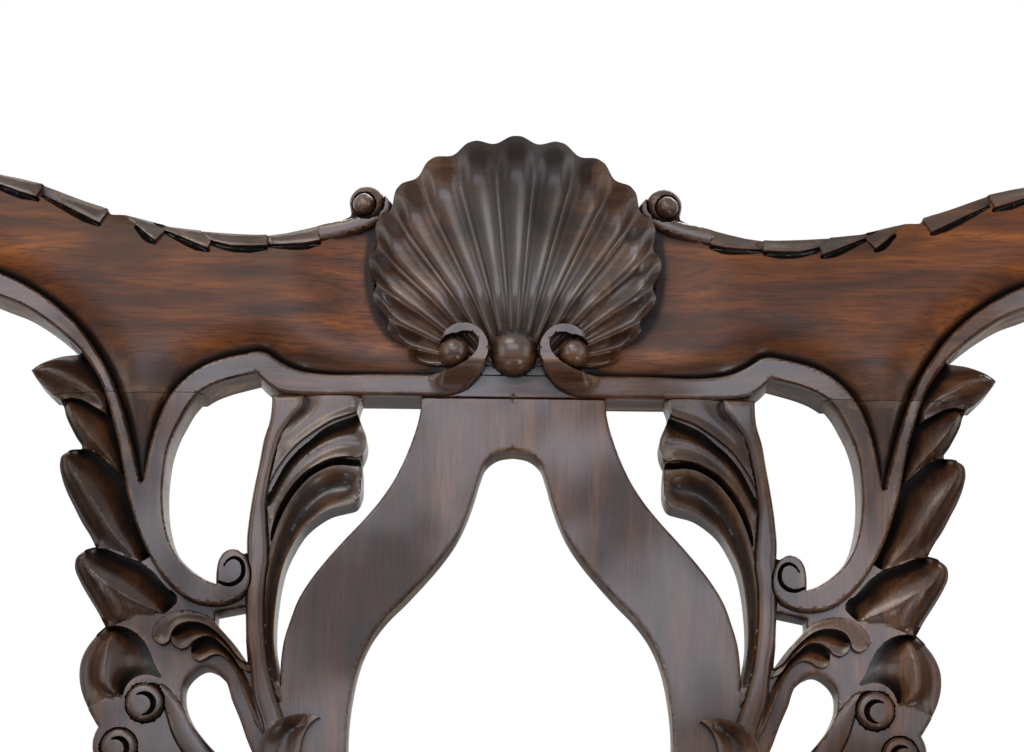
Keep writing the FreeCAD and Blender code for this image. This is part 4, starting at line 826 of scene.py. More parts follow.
def shaderGroup(name, inputs, outputs):
    tree = bpy.data.node_groups.new(name, "ShaderNodeTree")
    for label, kind, value in inputs:
        socket = tree.interface.new_socket(label, in_out="INPUT", socket_type=kind)
        socket.default_value = value
    for label, kind in outputs:
        tree.interface.new_socket(label, in_out="OUTPUT", socket_type=kind)
    return tree, put(tree, "NodeGroupInput").outputs, tree.nodes.new("NodeGroupOutput")


def mixColour(tree, share, first, second, blend="MIX"):
    return put(tree, "ShaderNodeMix", data_type="RGBA", blend_type=blend,
               named={0: share, 6: first, 7: second}).outputs[2]


def ramp(tree, value, stops):
    node = put(tree, "ShaderNodeValToRGB", value)
    elements = node.color_ramp.elements
    while len(elements) < len(stops):
        elements.new(0.5)
    for element, (place, colour) in zip(elements, stops):
        element.position = place
        element.color = colour
    return node.outputs[0]


def noise(tree, vector, scale, detail=2.0, rough=0.5, twist=0.0):
    return put(tree, "ShaderNodeTexNoise", named={"Vector": vector, "Scale": scale, "Detail": detail,
                                                  "Roughness": rough, "Distortion": twist}).outputs[0]


mahogany = {"streakScale": (11, 84, 84), "poreScale": (70, 1100, 1100), "cloudScale": 16.0,
            "streaks": [(0.27, (0.014, 0.0065, 0.0042, 1)), (0.42, (0.05, 0.019, 0.0085, 1)),
                        (0.55, (0.095, 0.037, 0.0145, 1)), (0.68, (0.16, 0.068, 0.026, 1))],
            "pores": (0.012, 0.007, 0.005, 1), "paleWearAndHighlight": (0.2, 0.11, 0.058, 1),
            # near-black colour of the painted shade in hollows
            "hollowShade": (0.006, 0.0045, 0.004, 1),
            "fieldTint": (2.1, 1.52, 0.68, 1)}  # the crest's field is tinted redder and lighter and has no gloss


def grainGroup():
    # along is the vector whose x runs with the grain, in metres
    tree, source, out = shaderGroup("wood_grain", [("Along", "NodeSocketVector", (0, 0, 0))],
                                    [("Color", "NodeSocketColor"), ("Pores", "NodeSocketFloat"),
                                     ("Cloud", "NodeSocketFloat")])
    streaked = put(tree, "ShaderNodeMapping", source["Along"], None, None, mahogany["streakScale"]).outputs[0]
    fine = put(tree, "ShaderNodeMapping", source["Along"], None, None, mahogany["poreScale"]).outputs[0]
    streak = noise(tree, streaked, 1.0, 5.0, 0.62, 1.1)
    pores = noise(tree, fine, 1.0, 2.0, 0.6)
    cloud = noise(tree, source["Along"], mahogany["cloudScale"], 3.0, 0.5)
    colour = ramp(tree, streak, mahogany["streaks"])
    shade = smooth(tree, cloud, 0.3, 0.7, 0.32, 1.15)
    colour = mixColour(tree, 1.0, colour, put(tree, "ShaderNodeCombineColor", shade, shade, shade).outputs[0],
                       "MULTIPLY")
    poreShare = smooth(tree, pores, 0.36, 0.5, 1.0, 0.0)
    colour = mixColour(tree, calc(tree, "MULTIPLY", poreShare, 0.5), colour, mahogany["pores"])
    tree.links.new(colour, out.inputs["Color"])
    tree.links.new(poreShare, out.inputs["Pores"])
    tree.links.new(cloud, out.inputs["Cloud"])
    return tree


def shadeAndWearPaintGroup():
    # painted shade in the hollows, pale worn edges that are partly a painted highlight
    tree, source, out = shaderGroup("shadeAndWearPaint", [("Color", "NodeSocketColor", (0, 0, 0, 1)),
                                               ("Groove", "NodeSocketFloat", 0), ("WearAndHighlight", "NodeSocketFloat", 0),
                                               ("Place", "NodeSocketVector", (0, 0, 0))],
                                    [("Color", "NodeSocketColor"), ("Roughness", "NodeSocketFloat")])
    patchy = noise(tree, source["Place"], 85.0, 4.0, 0.65)
    paleWearAndHighlight = calc(tree, "MULTIPLY", smooth(tree, source["WearAndHighlight"], 0.55, 1.0),
                  smooth(tree, patchy, 0.4, 0.68, 0.0, 0.55))
    colour = mixColour(tree, paleWearAndHighlight, source["Color"], mahogany["paleWearAndHighlight"])
    # painted shade: the colour goes near black where the groove attribute is high
    shadeShare = smooth(tree, source["Groove"], 0.04, 0.75, 0.0, 0.93)
    colour = mixColour(tree, shadeShare, colour, mahogany["hollowShade"])
    handled = noise(tree, source["Place"], 11.0, 3.0, 0.55)
    polish = smooth(tree, handled, 0.3, 0.7, 0.27, 0.4)
    rough = put(tree, "ShaderNodeMix", shadeShare, None, polish, 0.55).outputs[0]
    tree.links.new(colour, out.inputs["Color"])
    tree.links.new(rough, out.inputs["Roughness"])
    return tree


woodGrain = grainGroup()
shadeAndWearPaint = shadeAndWearPaintGroup()


def woodMaterial(name, turn, grainAxis="X", tint=(1, 1, 1), polish=(0.15, 1.0)):
    # turn is the piece's own lean, grainAxis the direction of its grain after that turn
    material, tree, place = emptyMaterial(name)
    turned = put(tree, "ShaderNodeVectorRotate", place, (0, 0, 0), rotation_type="EULER_XYZ",
                 named={"Rotation": turn}).outputs[0]
    axes = put(tree, "ShaderNodeSeparateXYZ", turned).outputs
    order = {"X": (0, 1, 2), "Y": (1, 0, 2), "Z": (2, 0, 1)}[grainAxis]
    along = put(tree, "ShaderNodeCombineXYZ", *[axes[i] for i in order]).outputs[0]
    grain = put(tree, "ShaderNodeGroup", node_tree=woodGrain, named={"Along": along})
    groove, wearAndHighlight, dull = [put(tree, "ShaderNodeAttribute", attribute_name=label).outputs["Fac"]
                          for label in ("groove", "wearAndHighlight", "dull")]
    tinted = mixColour(tree, 1.0, grain.outputs["Color"], (*tint, 1), "MULTIPLY")
    tinted = mixColour(tree, dull, tinted, mixColour(tree, 1.0, tinted, mahogany["fieldTint"], "MULTIPLY"))
    finish = put(tree, "ShaderNodeGroup", node_tree=shadeAndWearPaint,
                 named={"Color": tinted, "Groove": groove, "WearAndHighlight": wearAndHighlight, "Place": along})
    bump = put(tree, "ShaderNodeBump", named={"Strength": 0.12, "Distance": 0.0004,
                                              "Height": calc(tree, "SUBTRACT", 1.0, grain.outputs["Pores"])})
    handled = smooth(tree, noise(tree, along, 19.0, 2.0, 0.5), 0.38, 0.62, *polish)
    coat = calc(tree, "MULTIPLY", handled, calc(tree, "MULTIPLY_ADD", dull, -1.0, 1.0))
    surface(tree, {"Base Color": finish.outputs["Color"], "Roughness": finish.outputs["Roughness"], "IOR": 1.5,
                   "Specular IOR Level": 0.24, "Coat Weight": coat, "Coat Roughness": 0.22,
                   "Coat IOR": 1.5, "Normal": bump.outputs[0]})
    return material


rakeTurn = (chairBack["rake"] - math.pi / 2, 0, 0)
crestWood = woodMaterial("mahogany_crest", rakeTurn, "X")
splatWood = woodMaterial("mahogany_splat", rakeTurn, "Y")
# the sawn walls are tinted paler and bluer, a painted pale reflection, and have almost no gloss
sawnWoodWithPaintedReflection = woodMaterial("mahogany_sawn_painted_reflection", rakeTurn, "X", (3.0, 4.8, 7.5), (0, 0.1))
for piece, wood in ((crest, crestWood), (splat, splatWood)):
    piece.data.materials.append(wood)
    piece.data.materials.append(sawnWoodWithPaintedReflection)

# Scallop shell: flutes fan out from a hinge behind the ball, cupped at the rim
shell = {"Lobes": 17.0, "Pitch": math.radians(12.2), "Half Width": shellOval["halfWidth"],
         "Half Height": shellOval["halfHeight"], "Lift": shellOval["lift"] - shellOval["hinge"],
         "Hinge": shellOval["hinge"], "Crown": 9.0, "Fall": 5.2, "Cup": 5.0, "Flute": 2.4, "Notch": 2.6,
         "Ground": -2.0, "Root": 11.0, "Root Width": 27.0}
shellRows = 54
shellColumns = int(shell["Lobes"]) * 24 + 3


def shellTree():
    tree, given = geometryTree("scallop_shell", [(label, "NodeSocketFloat") for label in shell]
                               + [("Material", "NodeSocketMaterial")])
    grid = put(tree, "GeometryNodeMeshGrid", 1.0, 1.0, shellColumns, shellRows)
    where = put(tree, "ShaderNodeSeparateXYZ", put(tree, "GeometryNodeInputPosition").outputs[0]).outputs

    def share(axis, count):
        cell = calc(tree, "MULTIPLY_ADD", calc(tree, "ADD", where[axis], 0.5), count - 1.0, -1.0)
        inner = put(tree, "ShaderNodeClamp", calc(tree, "DIVIDE", cell, count - 3.0), 0.0, 1.0).outputs[0]
        return inner, calc(tree, "GREATER_THAN", calc(tree, "ABSOLUTE", where[axis]), 0.5 - 0.4 / count)

    across, sideEdge = share(0, shellColumns)
    away, endEdge = share(1, shellRows)         # from a short root line behind the ball out to the rim
    lobes = calc(tree, "MULTIPLY", calc(tree, "SUBTRACT", across, 0.5), given["Lobes"])
    angle = calc(tree, "MULTIPLY", lobes, given["Pitch"])
    phase = calc(tree, "PINGPONG", calc(tree, "ADD", lobes, 100.5), 0.5)
    ridge = calc(tree, "SUBTRACT", 1.0, calc(tree, "MULTIPLY", phase, 2.0))
    scoop = calc(tree, "POWER", ridge, 2.4)      # flutes are scooped out, the ridges left narrow and flat
    ridgeTop = calc(tree, "MINIMUM", calc(tree, "MULTIPLY", scoop, 1.28), 1.0)
    sine = calc(tree, "SINE", angle)
    cosine = calc(tree, "COSINE", angle)
    # distance from the hinge to the oval
    wide = calc(tree, "DIVIDE", sine, given["Half Width"])
    tall = calc(tree, "DIVIDE", cosine, given["Half Height"])
    lift = calc(tree, "DIVIDE", given["Lift"], given["Half Height"])
    square = calc(tree, "ADD", calc(tree, "MULTIPLY", wide, wide), calc(tree, "MULTIPLY", tall, tall))
    middle = calc(tree, "MULTIPLY", tall, lift)
    rest = calc(tree, "SUBTRACT", 1.0, calc(tree, "MULTIPLY", lift, lift))
    root = calc(tree, "SQRT", calc(tree, "ADD", calc(tree, "MULTIPLY", middle, middle),
                                   calc(tree, "MULTIPLY", square, rest)))
    reach = calc(tree, "DIVIDE", calc(tree, "ADD", middle, root), square)
    rim = calc(tree, "SUBTRACT", reach, calc(tree, "MULTIPLY", given["Notch"], smooth(tree, ridge, 0.1, 1.0)))
    rootU = calc(tree, "MULTIPLY", calc(tree, "SUBTRACT", across, 0.5), given["Root Width"])
    u = put(tree, "ShaderNodeMix", away, None, rootU, calc(tree, "MULTIPLY", rim, sine)).outputs[0]
    v = put(tree, "ShaderNodeMix", away, None, given["Root"],
            calc(tree, "MULTIPLY_ADD", rim, cosine, given["Hinge"])).outputs[0]
    fall = calc(tree, "MULTIPLY", smooth(tree, away, 0.3, 0.9), given["Fall"])
    cup = calc(tree, "MULTIPLY", calc(tree, "POWER", smooth(tree, away, 0.8, 1.02), 1.6), given["Cup"])
    crown = calc(tree, "MULTIPLY", given["Crown"], smooth(tree, v, 10.0, 36.0, 0.16, 1.0))
    fall = calc(tree, "MULTIPLY", fall, smooth(tree, v, 10.0, 40.0, 0.25, 1.0))
    bowl = calc(tree, "ADD", calc(tree, "SUBTRACT", crown, fall), cup)
    depth = calc(tree, "MULTIPLY", given["Flute"], smooth(tree, away, 0.05, 0.7, 0.3, 1.0))
    depth = calc(tree, "MULTIPLY", depth, calc(tree, "SUBTRACT", 1.0, smooth(tree, away, 0.86, 1.0, 0.0, 0.75)))
    height = calc(tree, "MULTIPLY_ADD", depth, ridgeTop, bowl)
    border = calc(tree, "MAXIMUM", sideEdge, endEdge)

    def inMetres(level):
        point = put(tree, "ShaderNodeCombineXYZ", u, v, level).outputs[0]
        return put(tree, "ShaderNodeVectorMath", point, (0.001, 0.001, 0.001), operation="MULTIPLY").outputs[0]

    face = put(tree, "ShaderNodeMix", border, None, height, given["Ground"]).outputs[0]
    front = put(tree, "GeometryNodeSetPosition", grid.outputs["Mesh"],
                named={"Position": inMetres(face)}).outputs[0]
    # painted shade: inside the cupped rim, in the flute valleys, along the border and lightly all over, and
    # half on the back
    groove = calc(tree, "MULTIPLY", smooth(tree, away, 0.8, 0.93), smooth(tree, away, 1.0, 0.95))
    groove = calc(tree, "MULTIPLY", groove, smooth(tree, ridge, 0.95, 0.5))
    groove = calc(tree, "MULTIPLY_ADD", groove, 0.5, calc(tree, "MULTIPLY_ADD", border, 0.8, 0.16))
    groove = calc(tree, "ADD", groove, calc(tree, "MULTIPLY", smooth(tree, ridge, 0.9, 0.3), 0.26))
    # pale worn spots with a painted highlight on the ridges and the lip
    wearAndHighlight = calc(tree, "MAXIMUM", smooth(tree, ridge, 0.8, 0.92), smooth(tree, away, 0.972, 1.0))
    back = put(tree, "GeometryNodeSetPosition", grid.outputs["Mesh"],
               named={"Position": inMetres(given["Ground"])}).outputs[0]
    back = put(tree, "GeometryNodeFlipFaces", back).outputs[0]
    for label, ahead, behind in (("groove", groove, 0.5), ("wearAndHighlight", wearAndHighlight, 0.0)):
        front = put(tree, "GeometryNodeStoreNamedAttribute", front, None, label, ahead).outputs[0]
        back = put(tree, "GeometryNodeStoreNamedAttribute", back, None, label, behind).outputs[0]
    joined = tree.nodes.new("GeometryNodeJoinGeometry")
    for part in (back, front):
        tree.links.new(part, joined.inputs[0])
    whole = put(tree, "GeometryNodeMergeByDistance", joined.outputs[0], None, 0.00002).outputs[0]
    placed = put(tree, "GeometryNodeTransform", whole, named={
        "Translation": (0, jointY, chairBack["jointHeight"]),
        "Rotation": (math.pi / 2 - chairBack["rake"], 0, 0)}).outputs[0]
    placed = put(tree, "GeometryNodeSetShadeSmooth", placed).outputs[0]
    placed = put(tree, "GeometryNodeRealizeInstances", placed).outputs[0]
    placed = put(tree, "GeometryNodeSetMaterial", placed, named={"Material": given["Material"]}).outputs[0]
    put(tree, "NodeGroupOutput", placed)
    return tree


shellPiece = shapedPiece("scallop_shell", shellTree(), {**shell, "Material": crestWood})
shellPiece.data.set_sharp_from_angle(angle=math.radians(50))
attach(shellPiece, "frame")
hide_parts("crest_rail")


# Frame pieces: the solids with eased edges
def meshPiece(name, mesh, material, body, replaced):
    piece = linked(name, mesh)
    mesh.materials.clear()
    mesh.materials.append(material)
    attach(piece, body)
    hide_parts(*replaced)
    return piece


def plainWork(node):
    # the node's solid with its triangles joined into flat faces again
    work = bmesh.new()
    work.from_mesh(nodes[node].data)
    bmesh.ops.remove_doubles(work, verts=work.verts, dist=2e-6)
    bmesh.ops.dissolve_limit(work, angle_limit=math.radians(0.5), verts=work.verts, edges=work.edges)
    return work


def easeEdges(work, ease):
    sharp = [edge for edge in work.edges if len(edge.link_faces) == 2 and edge.is_convex
             and edge.calc_face_angle() > math.radians(30) and edge.calc_length() > 4 * ease]
    bmesh.ops.bevel(work, geom=sharp, offset=ease, segments=2, profile=0.5, affect="EDGES", clamp_overlap=True)


def finishedMesh(name, work, angle=35):
    bmesh.ops.triangulate(work, faces=[face for face in work.faces if len(face.verts) > 4])
    mesh = bpy.data.meshes.new(name)
    work.to_mesh(mesh)
    work.free()
    mesh.shade_smooth()
    mesh.set_sharp_from_angle(angle=math.radians(angle))
    return mesh


upright = (0, 0, 0)
evenPolish = (0.2, 0.34)
lengthwiseWood = woodMaterial("mahogany_rails", upright, "X", polish=evenPolish)
sidewaysWood = woodMaterial("mahogany_side_rails", upright, "Y", polish=evenPolish)
uprightWood = woodMaterial("mahogany_uprights", upright, "Z", polish=evenPolish)
beech = {"tint": (4.6, 6.4, 8.6), "polish": (0, 0.05)}  # plain pale wood from the same grain
beechLong = woodMaterial("beech_long", upright, "X", **beech)
beechSide = woodMaterial("beech_side", upright, "Y", **beech)
easedNodes = [("front_seat_rail", lengthwiseWood, "mahogany", 1.4, "frame"),
              ("rear_seat_rail", lengthwiseWood, "mahogany", 1.4, "frame"),
              ("splat_shoe", lengthwiseWood, "mahogany", 1.6, "frame"),
              ("slip_front_rail", beechLong, "beech", 0.8, "slip_seat"),
              ("slip_rear_rail", beechLong, "beech", 0.8, "slip_seat")]
for hand in ("left", "right"):
    easedNodes += [(hand + "_seat_rail", sidewaysWood, "mahogany", 1.4, "frame"),
                   (hand + "_front_knee_block", lengthwiseWood, "mahogany", 1.2, "frame"),
                   (hand + "_side_knee_block", sidewaysWood, "mahogany", 1.2, "frame"),
                   (hand + "_front_corner_block", beechLong, "beech", 0.8, "frame"),
                   (hand + "_rear_corner_block", beechLong, "beech", 0.8, "frame"),
                   ("slip_" + hand + "_rail", beechSide, "beech", 0.8, "slip_seat")]
for node, material, slotName, ease, body in easedNodes:
    work = plainWork(node)
    easeEdges(work, ease / 1000)
    meshPiece(node + "_eased", finishedMesh(node + "_eased", work), material, body, [node])
print("eased", len(easedNodes), "pieces")


def roundedRing(halfWide, halfDeep, corner, steps=6):
    # rounded rectangle about the origin, anticlockwise
    rows = []
    for turn, (signX, signY) in enumerate(((1, 1), (-1, 1), (-1, -1), (1, -1))):
        angle = np.radians(90 * turn + 90 * np.arange(steps + 1) / steps)
        rows.append(np.column_stack((signX * (halfWide - corner) + corner * np.cos(angle),
                                     signY * (halfDeep - corner) + corner * np.sin(angle))))
    return np.vstack(rows)


def addRings(work, rings):
    # closed skin through rings of points, in mm
    rows = [[work.verts.new(Vector(point) / 1000) for point in ring] for ring in rings]
    count = len(rows[0])
    for low, high in zip(rows, rows[1:]):
        for i in range(count):
            work.faces.new((low[i], low[(i + 1) % count], high[(i + 1) % count], high[i]))
    work.faces.new(rows[0][::-1])
    work.faces.new(rows[-1])


middleY = 274.59                              # seat front to the frame's origin
# Rear posts: splayed leg, square at the seat, raked stile
post = {"x": 186.0, "y": 427.0 - middleY, "wide": 38.0, "deep": 46.0, "footWide": 30.0, "footDeep": 34.0,
        "topWide": 34.0, "topDeep": 25.0, "footX": 6.0, "splay": 70.0, "railBottom": 370.0, "seat": 440.0,
        "topX": 224.0, "topV": 42.0, "bow": 8.0, "waist": 7.0, "corner": 5.0}
postTopY = jointY * 1000 + post["topV"] * rakeSin + chairBack["crestThick"] / 2 * rakeCos
postTopZ = chairBack["jointHeight"] * 1000 + post["topV"] * rakeCos - chairBack["crestThick"] / 2 * rakeSin


def postRing(x, y, z, wide, deep, tilt):
    ring = roundedRing(wide / 2, deep / 2, post["corner"])
    return np.column_stack((x + ring[:, 0], y + ring[:, 1] * math.cos(tilt), z - ring[:, 1] * math.sin(tilt)))


def postRings():
    rings = []
    for share in np.linspace(1, 0, 15):
        curve = share ** 1.7
        rings.append(postRing(post["x"] + post["footX"] * curve, post["y"] + post["splay"] * curve,
                              post["railBottom"] * (1 - share),
                              post["wide"] + (post["footWide"] - post["wide"]) * share,
                              post["deep"] + (post["footDeep"] - post["deep"]) * share, 0))
    for share in np.linspace(0, 1, 22):
        bulge = math.sin(math.pi * share)
        rings.append(postRing(post["x"] + (post["topX"] - post["x"]) * share - post["waist"] * bulge,
                              post["y"] + (postTopY - post["y"]) * share - post["bow"] * bulge,
                              post["seat"] + (postTopZ - post["seat"]) * share,
                              post["wide"] + (post["topWide"] - post["wide"]) * share,
                              post["deep"] + (post["topDeep"] - post["deep"]) * share,
                              chairBack["rake"] * share))
    return rings


# Front legs: square stump from the solid, round cabriole shaft, ball held by four talons
leg = {"x": 247.0, "y": 23.0 - middleY, "stumpFoot": 370.0, "ballRadius": 32.0, "ballHeight": 29.0,
       "footReach": 11.0, "ease": 1.6}
# height, reach towards the corner, width, and the corner's rounding as a share of the width
legSections = [(372, 0, 46, 0.05), (352, 3.4, 52.5, 0.12), (330, 9, 60, 0.2), (300, 9.4, 57.4, 0.28),
               (262, 6, 48.6, 0.34), (224.7, 2.4, 41.8, 0.38), (160, -1.4, 32.6, 0.42), (110, -2.2, 28.4, 0.44),
               (90, -1.4, 28.2, 0.44), (70, 3.2, 31.4, 0.44), (54.6, 8.2, 36.4, 0.44), (46, 10.4, 38, 0.44)]
footX = leg["x"] + leg["footReach"] / math.sqrt(2)
footY = leg["y"] - leg["footReach"] / math.sqrt(2)
# angle from the top of the ball, thickness in mm: knuckles are the thick places, the nail the thin end
talonSections = [(8, 9), (24, 9.4), (38, 7.6), (52, 7.2), (62, 8.4), (72, 7), (84, 6.8), (92, 7.8), (101, 6.4),
                 (107, 5.2), (118, 4), (127, 2.4), (133, 1)]


def talonMesh():
    work = bmesh.new()
    rings = []
    for polar, thick in smoothLine(talonSections, 3):
        angle = math.radians(polar)
        out = leg["ballRadius"] + 0.15 * thick
        centre = np.array((math.sin(angle) * out, 0, math.cos(angle) * out))
        normal = np.array((math.sin(angle), 0, math.cos(angle)))
        turn = np.radians(np.arange(0, 360, 30))
        rings.append(centre + thick * (0.9 * np.cos(turn)[:, None] * normal
                                       + np.sin(turn)[:, None] * np.array((0, 1, 0))))
    addRings(work, rings)
    bmesh.ops.recalc_face_normals(work, faces=work.faces)
    return finishedMesh("talon", work, 60)


def clawTree():
    tree, given = geometryTree("claw_ring", [("Talon", "NodeSocketObject"), ("Count", "NodeSocketInt"),
                                             ("Start", "NodeSocketFloat"), ("Material", "NodeSocketMaterial")])
    spots = put(tree, "GeometryNodePoints", given["Count"]).outputs[0]
    step = calc(tree, "DIVIDE", 2 * math.pi, given["Count"])
    angle = calc(tree, "MULTIPLY_ADD", put(tree, "GeometryNodeInputIndex").outputs[0], step, given["Start"])
    talon = put(tree, "GeometryNodeObjectInfo", given["Talon"]).outputs["Geometry"]
    turn = put(tree, "ShaderNodeCombineXYZ", 0.0, 0.0, angle).outputs[0]
    ring = put(tree, "GeometryNodeInstanceOnPoints", spots,
               named={"Instance": talon, "Rotation": turn}).outputs[0]
    ring = put(tree, "GeometryNodeRealizeInstances", ring).outputs[0]
    ring = put(tree, "GeometryNodeSetMaterial", ring, named={"Material": given["Material"]}).outputs[0]
    put(tree, "NodeGroupOutput", ring)
    return tree


talon = linked("talon", talonMesh())
claws = shapedPiece("claws", clawTree(), {"Talon": talon, "Count": 4, "Start": math.radians(-45),
                                          "Material": uprightWood})
clawMesh = claws.data
bpy.data.objects.remove(claws)
bpy.data.objects.remove(talon)

for hand, side in (("left", -1), ("right", 1)):
    work = bmesh.new()
    addRings(work, postRings())
    bmesh.ops.transform(work, matrix=Matrix.Diagonal((side, 1, 1, 1)), verts=work.verts)
    bmesh.ops.recalc_face_normals(work, faces=work.faces)
    name = hand + "_rear_post_eased"
    meshPiece(name, finishedMesh(name, work, 50), uprightWood, "frame", [hand + "_rear_post"])

    work = plainWork(hand + "_front_leg")
    bmesh.ops.bisect_plane(work, geom=work.verts[:] + work.edges[:] + work.faces[:], plane_no=(0, 0, 1),
                           plane_co=(0, 0, leg["stumpFoot"] / 1000), clear_inner=True, dist=1e-6)
    bmesh.ops.holes_fill(work, edges=[edge for edge in work.edges if edge.is_boundary], sides=0)
    easeEdges(work, leg["ease"] / 1000)
    grown = bmesh.new()
    rings = []
    for height, reach, wide, corner in smoothLine(legSections, 6):
        ring = roundedRing(wide / 2, wide / 2, wide * min(corner, 0.48), 5)
        rings.append(np.column_stack((ring[:, 0] + leg["x"] + reach / math.sqrt(2),
                                      ring[:, 1] + leg["y"] - reach / math.sqrt(2),
                                      np.full(len(ring), height))))
    addRings(grown, rings[::-1])
    ball = bmesh.ops.create_uvsphere(grown, u_segments=48, v_segments=32,
                                     radius=leg["ballRadius"] / 1000)["verts"]
    for vert in ball:
        vert.co.z = max(vert.co.z, -leg["ballHeight"] / 1000)
    ballPlace = Matrix.Translation(Vector((footX, footY, leg["ballHeight"])) / 1000)
    bmesh.ops.transform(grown, matrix=ballPlace, verts=ball)
    before = set(grown.verts)
    grown.from_mesh(clawMesh)
    bmesh.ops.transform(grown, matrix=ballPlace, verts=[vert for vert in grown.verts if vert not in before])
    for vert in grown.verts:
        vert.co.z = max(vert.co.z, 0)
    bmesh.ops.transform(grown, matrix=Matrix.Diagonal((side, 1, 1, 1)), verts=grown.verts)
    bmesh.ops.recalc_face_normals(grown, faces=grown.faces)
    shaft = bpy.data.meshes.new("shaft")
    grown.to_mesh(shaft)
    grown.free()
    work.from_mesh(shaft)
    name = hand + "_front_leg_eased"
    meshPiece(name, finishedMesh(name, work, 42), uprightWood, "frame", [hand + "_front_leg"])
print("legs and posts are made")


# Drop-in seat: leather drawn over the stuffing, hessian and webbing below it
coverLow, coverHigh = (corner * 1000 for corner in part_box("seat_cover"))
coverPoints = pointsOf(nodes["seat_cover"]) * 1000
rearPoints = coverPoints[coverPoints[:, 1] > coverHigh.y - 3]
seat = {"frontHalf": coverHigh.x, "rearHalf": rearPoints[:, 0].max(), "front": coverLow.y, "rear": coverHigh.y,
        "bottom": coverLow.z, "shoulder": coverLow.z + 24, "top": coverHigh.z, "sideFall": 7.0, "endFall": 4.0,
        "roll": 44.0, "rollDrop": 12.0, "inset": 4.5, "skin": 1.6, "puff": 6.0, "rows": 64, "columns": 72}


def gridRim(columns, rows):
    # places round the edge of a grid, once round
    return ([(i, 0) for i in range(columns)] + [(columns, j) for j in range(rows)]
            + [(i, rows) for i in range(columns, 0, -1)] + [(0, j) for j in range(rows, 0, -1)])


def coverSpot(a, b, inset):
    # a and b run from -1 to 1 over the seat, drawn in by inset at the rim
    y = (seat["front"] + seat["rear"]) / 2 + b * ((seat["rear"] - seat["front"]) / 2 - inset)
    share = (y - seat["front"]) / (seat["rear"] - seat["front"])
    return a * (seat["frontHalf"] + (seat["rearHalf"] - seat["frontHalf"]) * share - inset), y


def coverMesh():
    # crowned top, rolled edge and straight skirt as one skin
    work = bmesh.new()
    columns, rows = seat["columns"] - 1, seat["rows"] - 1
    edge = np.linspace(-1, 1, columns + 1)
    deep = np.linspace(-1, 1, rows + 1)
    grid = {}
    for i, a in enumerate(edge):
        for j, b in enumerate(deep):
            x, y = coverSpot(a, b, seat["inset"])
            fromSide = (1 - abs(a)) * seat["frontHalf"] / seat["roll"]
            fromEnd = (1 - abs(b)) * (seat["rear"] - seat["front"]) / 2 / seat["roll"]
            roll = float(quarterRound(fromSide) * quarterRound(fromEnd))
            crown = seat["top"] - seat["sideFall"] * a * a - seat["endFall"] * b * b
            z = crown - seat["rollDrop"] * (1 - roll)
            grid[i, j] = work.verts.new((x / 1000, y / 1000, z / 1000))
    for i in range(columns):
        for j in range(rows):
            work.faces.new((grid[i, j], grid[i + 1, j], grid[i + 1, j + 1], grid[i, j + 1]))
    rim = gridRim(columns, rows)
    upper = [grid[spot] for spot in rim]
    for height, inset in ((seat["shoulder"] + 5, 1.4), (seat["shoulder"], 0.3), (seat["shoulder"] - 6, 0.1),
                          (seat["bottom"] + 12, 0.1), (seat["bottom"], 0.1)):
        lower = []
        for i, j in rim:
            x, y = coverSpot(edge[i], deep[j], inset)
            lower.append(work.verts.new((x / 1000, y / 1000, height / 1000)))
        for k in range(len(rim)):
            following = (k + 1) % len(rim)
            work.faces.new((upper[k], lower[k], lower[following], upper[following]))
        upper = lower
    bmesh.ops.recalc_face_normals(work, faces=work.faces)
    return finishedMesh("leather_seat", work, 60)


def leatherMaterial():
    material, tree, place = emptyMaterial("waxed_leather")
    pebble = put(tree, "ShaderNodeTexVoronoi", named={"Vector": place, "Scale": 620.0}).outputs["Distance"]
    crease = noise(tree, place, 240.0, 4.0, 0.6)
    cloud = noise(tree, place, 14.0, 4.0, 0.55)
    colour = ramp(tree, cloud, [(0.3, (0.06, 0.02, 0.012, 1)), (0.5, (0.11, 0.035, 0.02, 1)),
                                (0.7, (0.17, 0.06, 0.032, 1))])
    height = calc(tree, "ADD", calc(tree, "MULTIPLY", pebble, 0.6), calc(tree, "MULTIPLY", crease, 0.5))
    bump = put(tree, "ShaderNodeBump", named={"Strength": 0.25, "Distance": 0.0006, "Height": height})
    surface(tree, {"Base Color": colour, "Roughness": smooth(tree, cloud, 0.3, 0.7, 0.34, 0.5),
                   "Normal": bump.outputs[0]})
    return material


stuffing = {"quality": 6, "mass": 0.4, "tension_stiffness": 30, "compression_stiffness": 12,
            "bending_stiffness": 2, "use_pressure": True, "uniform_pressure_force": 4.0, "shrink_min": -0.015}
stuffingSteps = 20


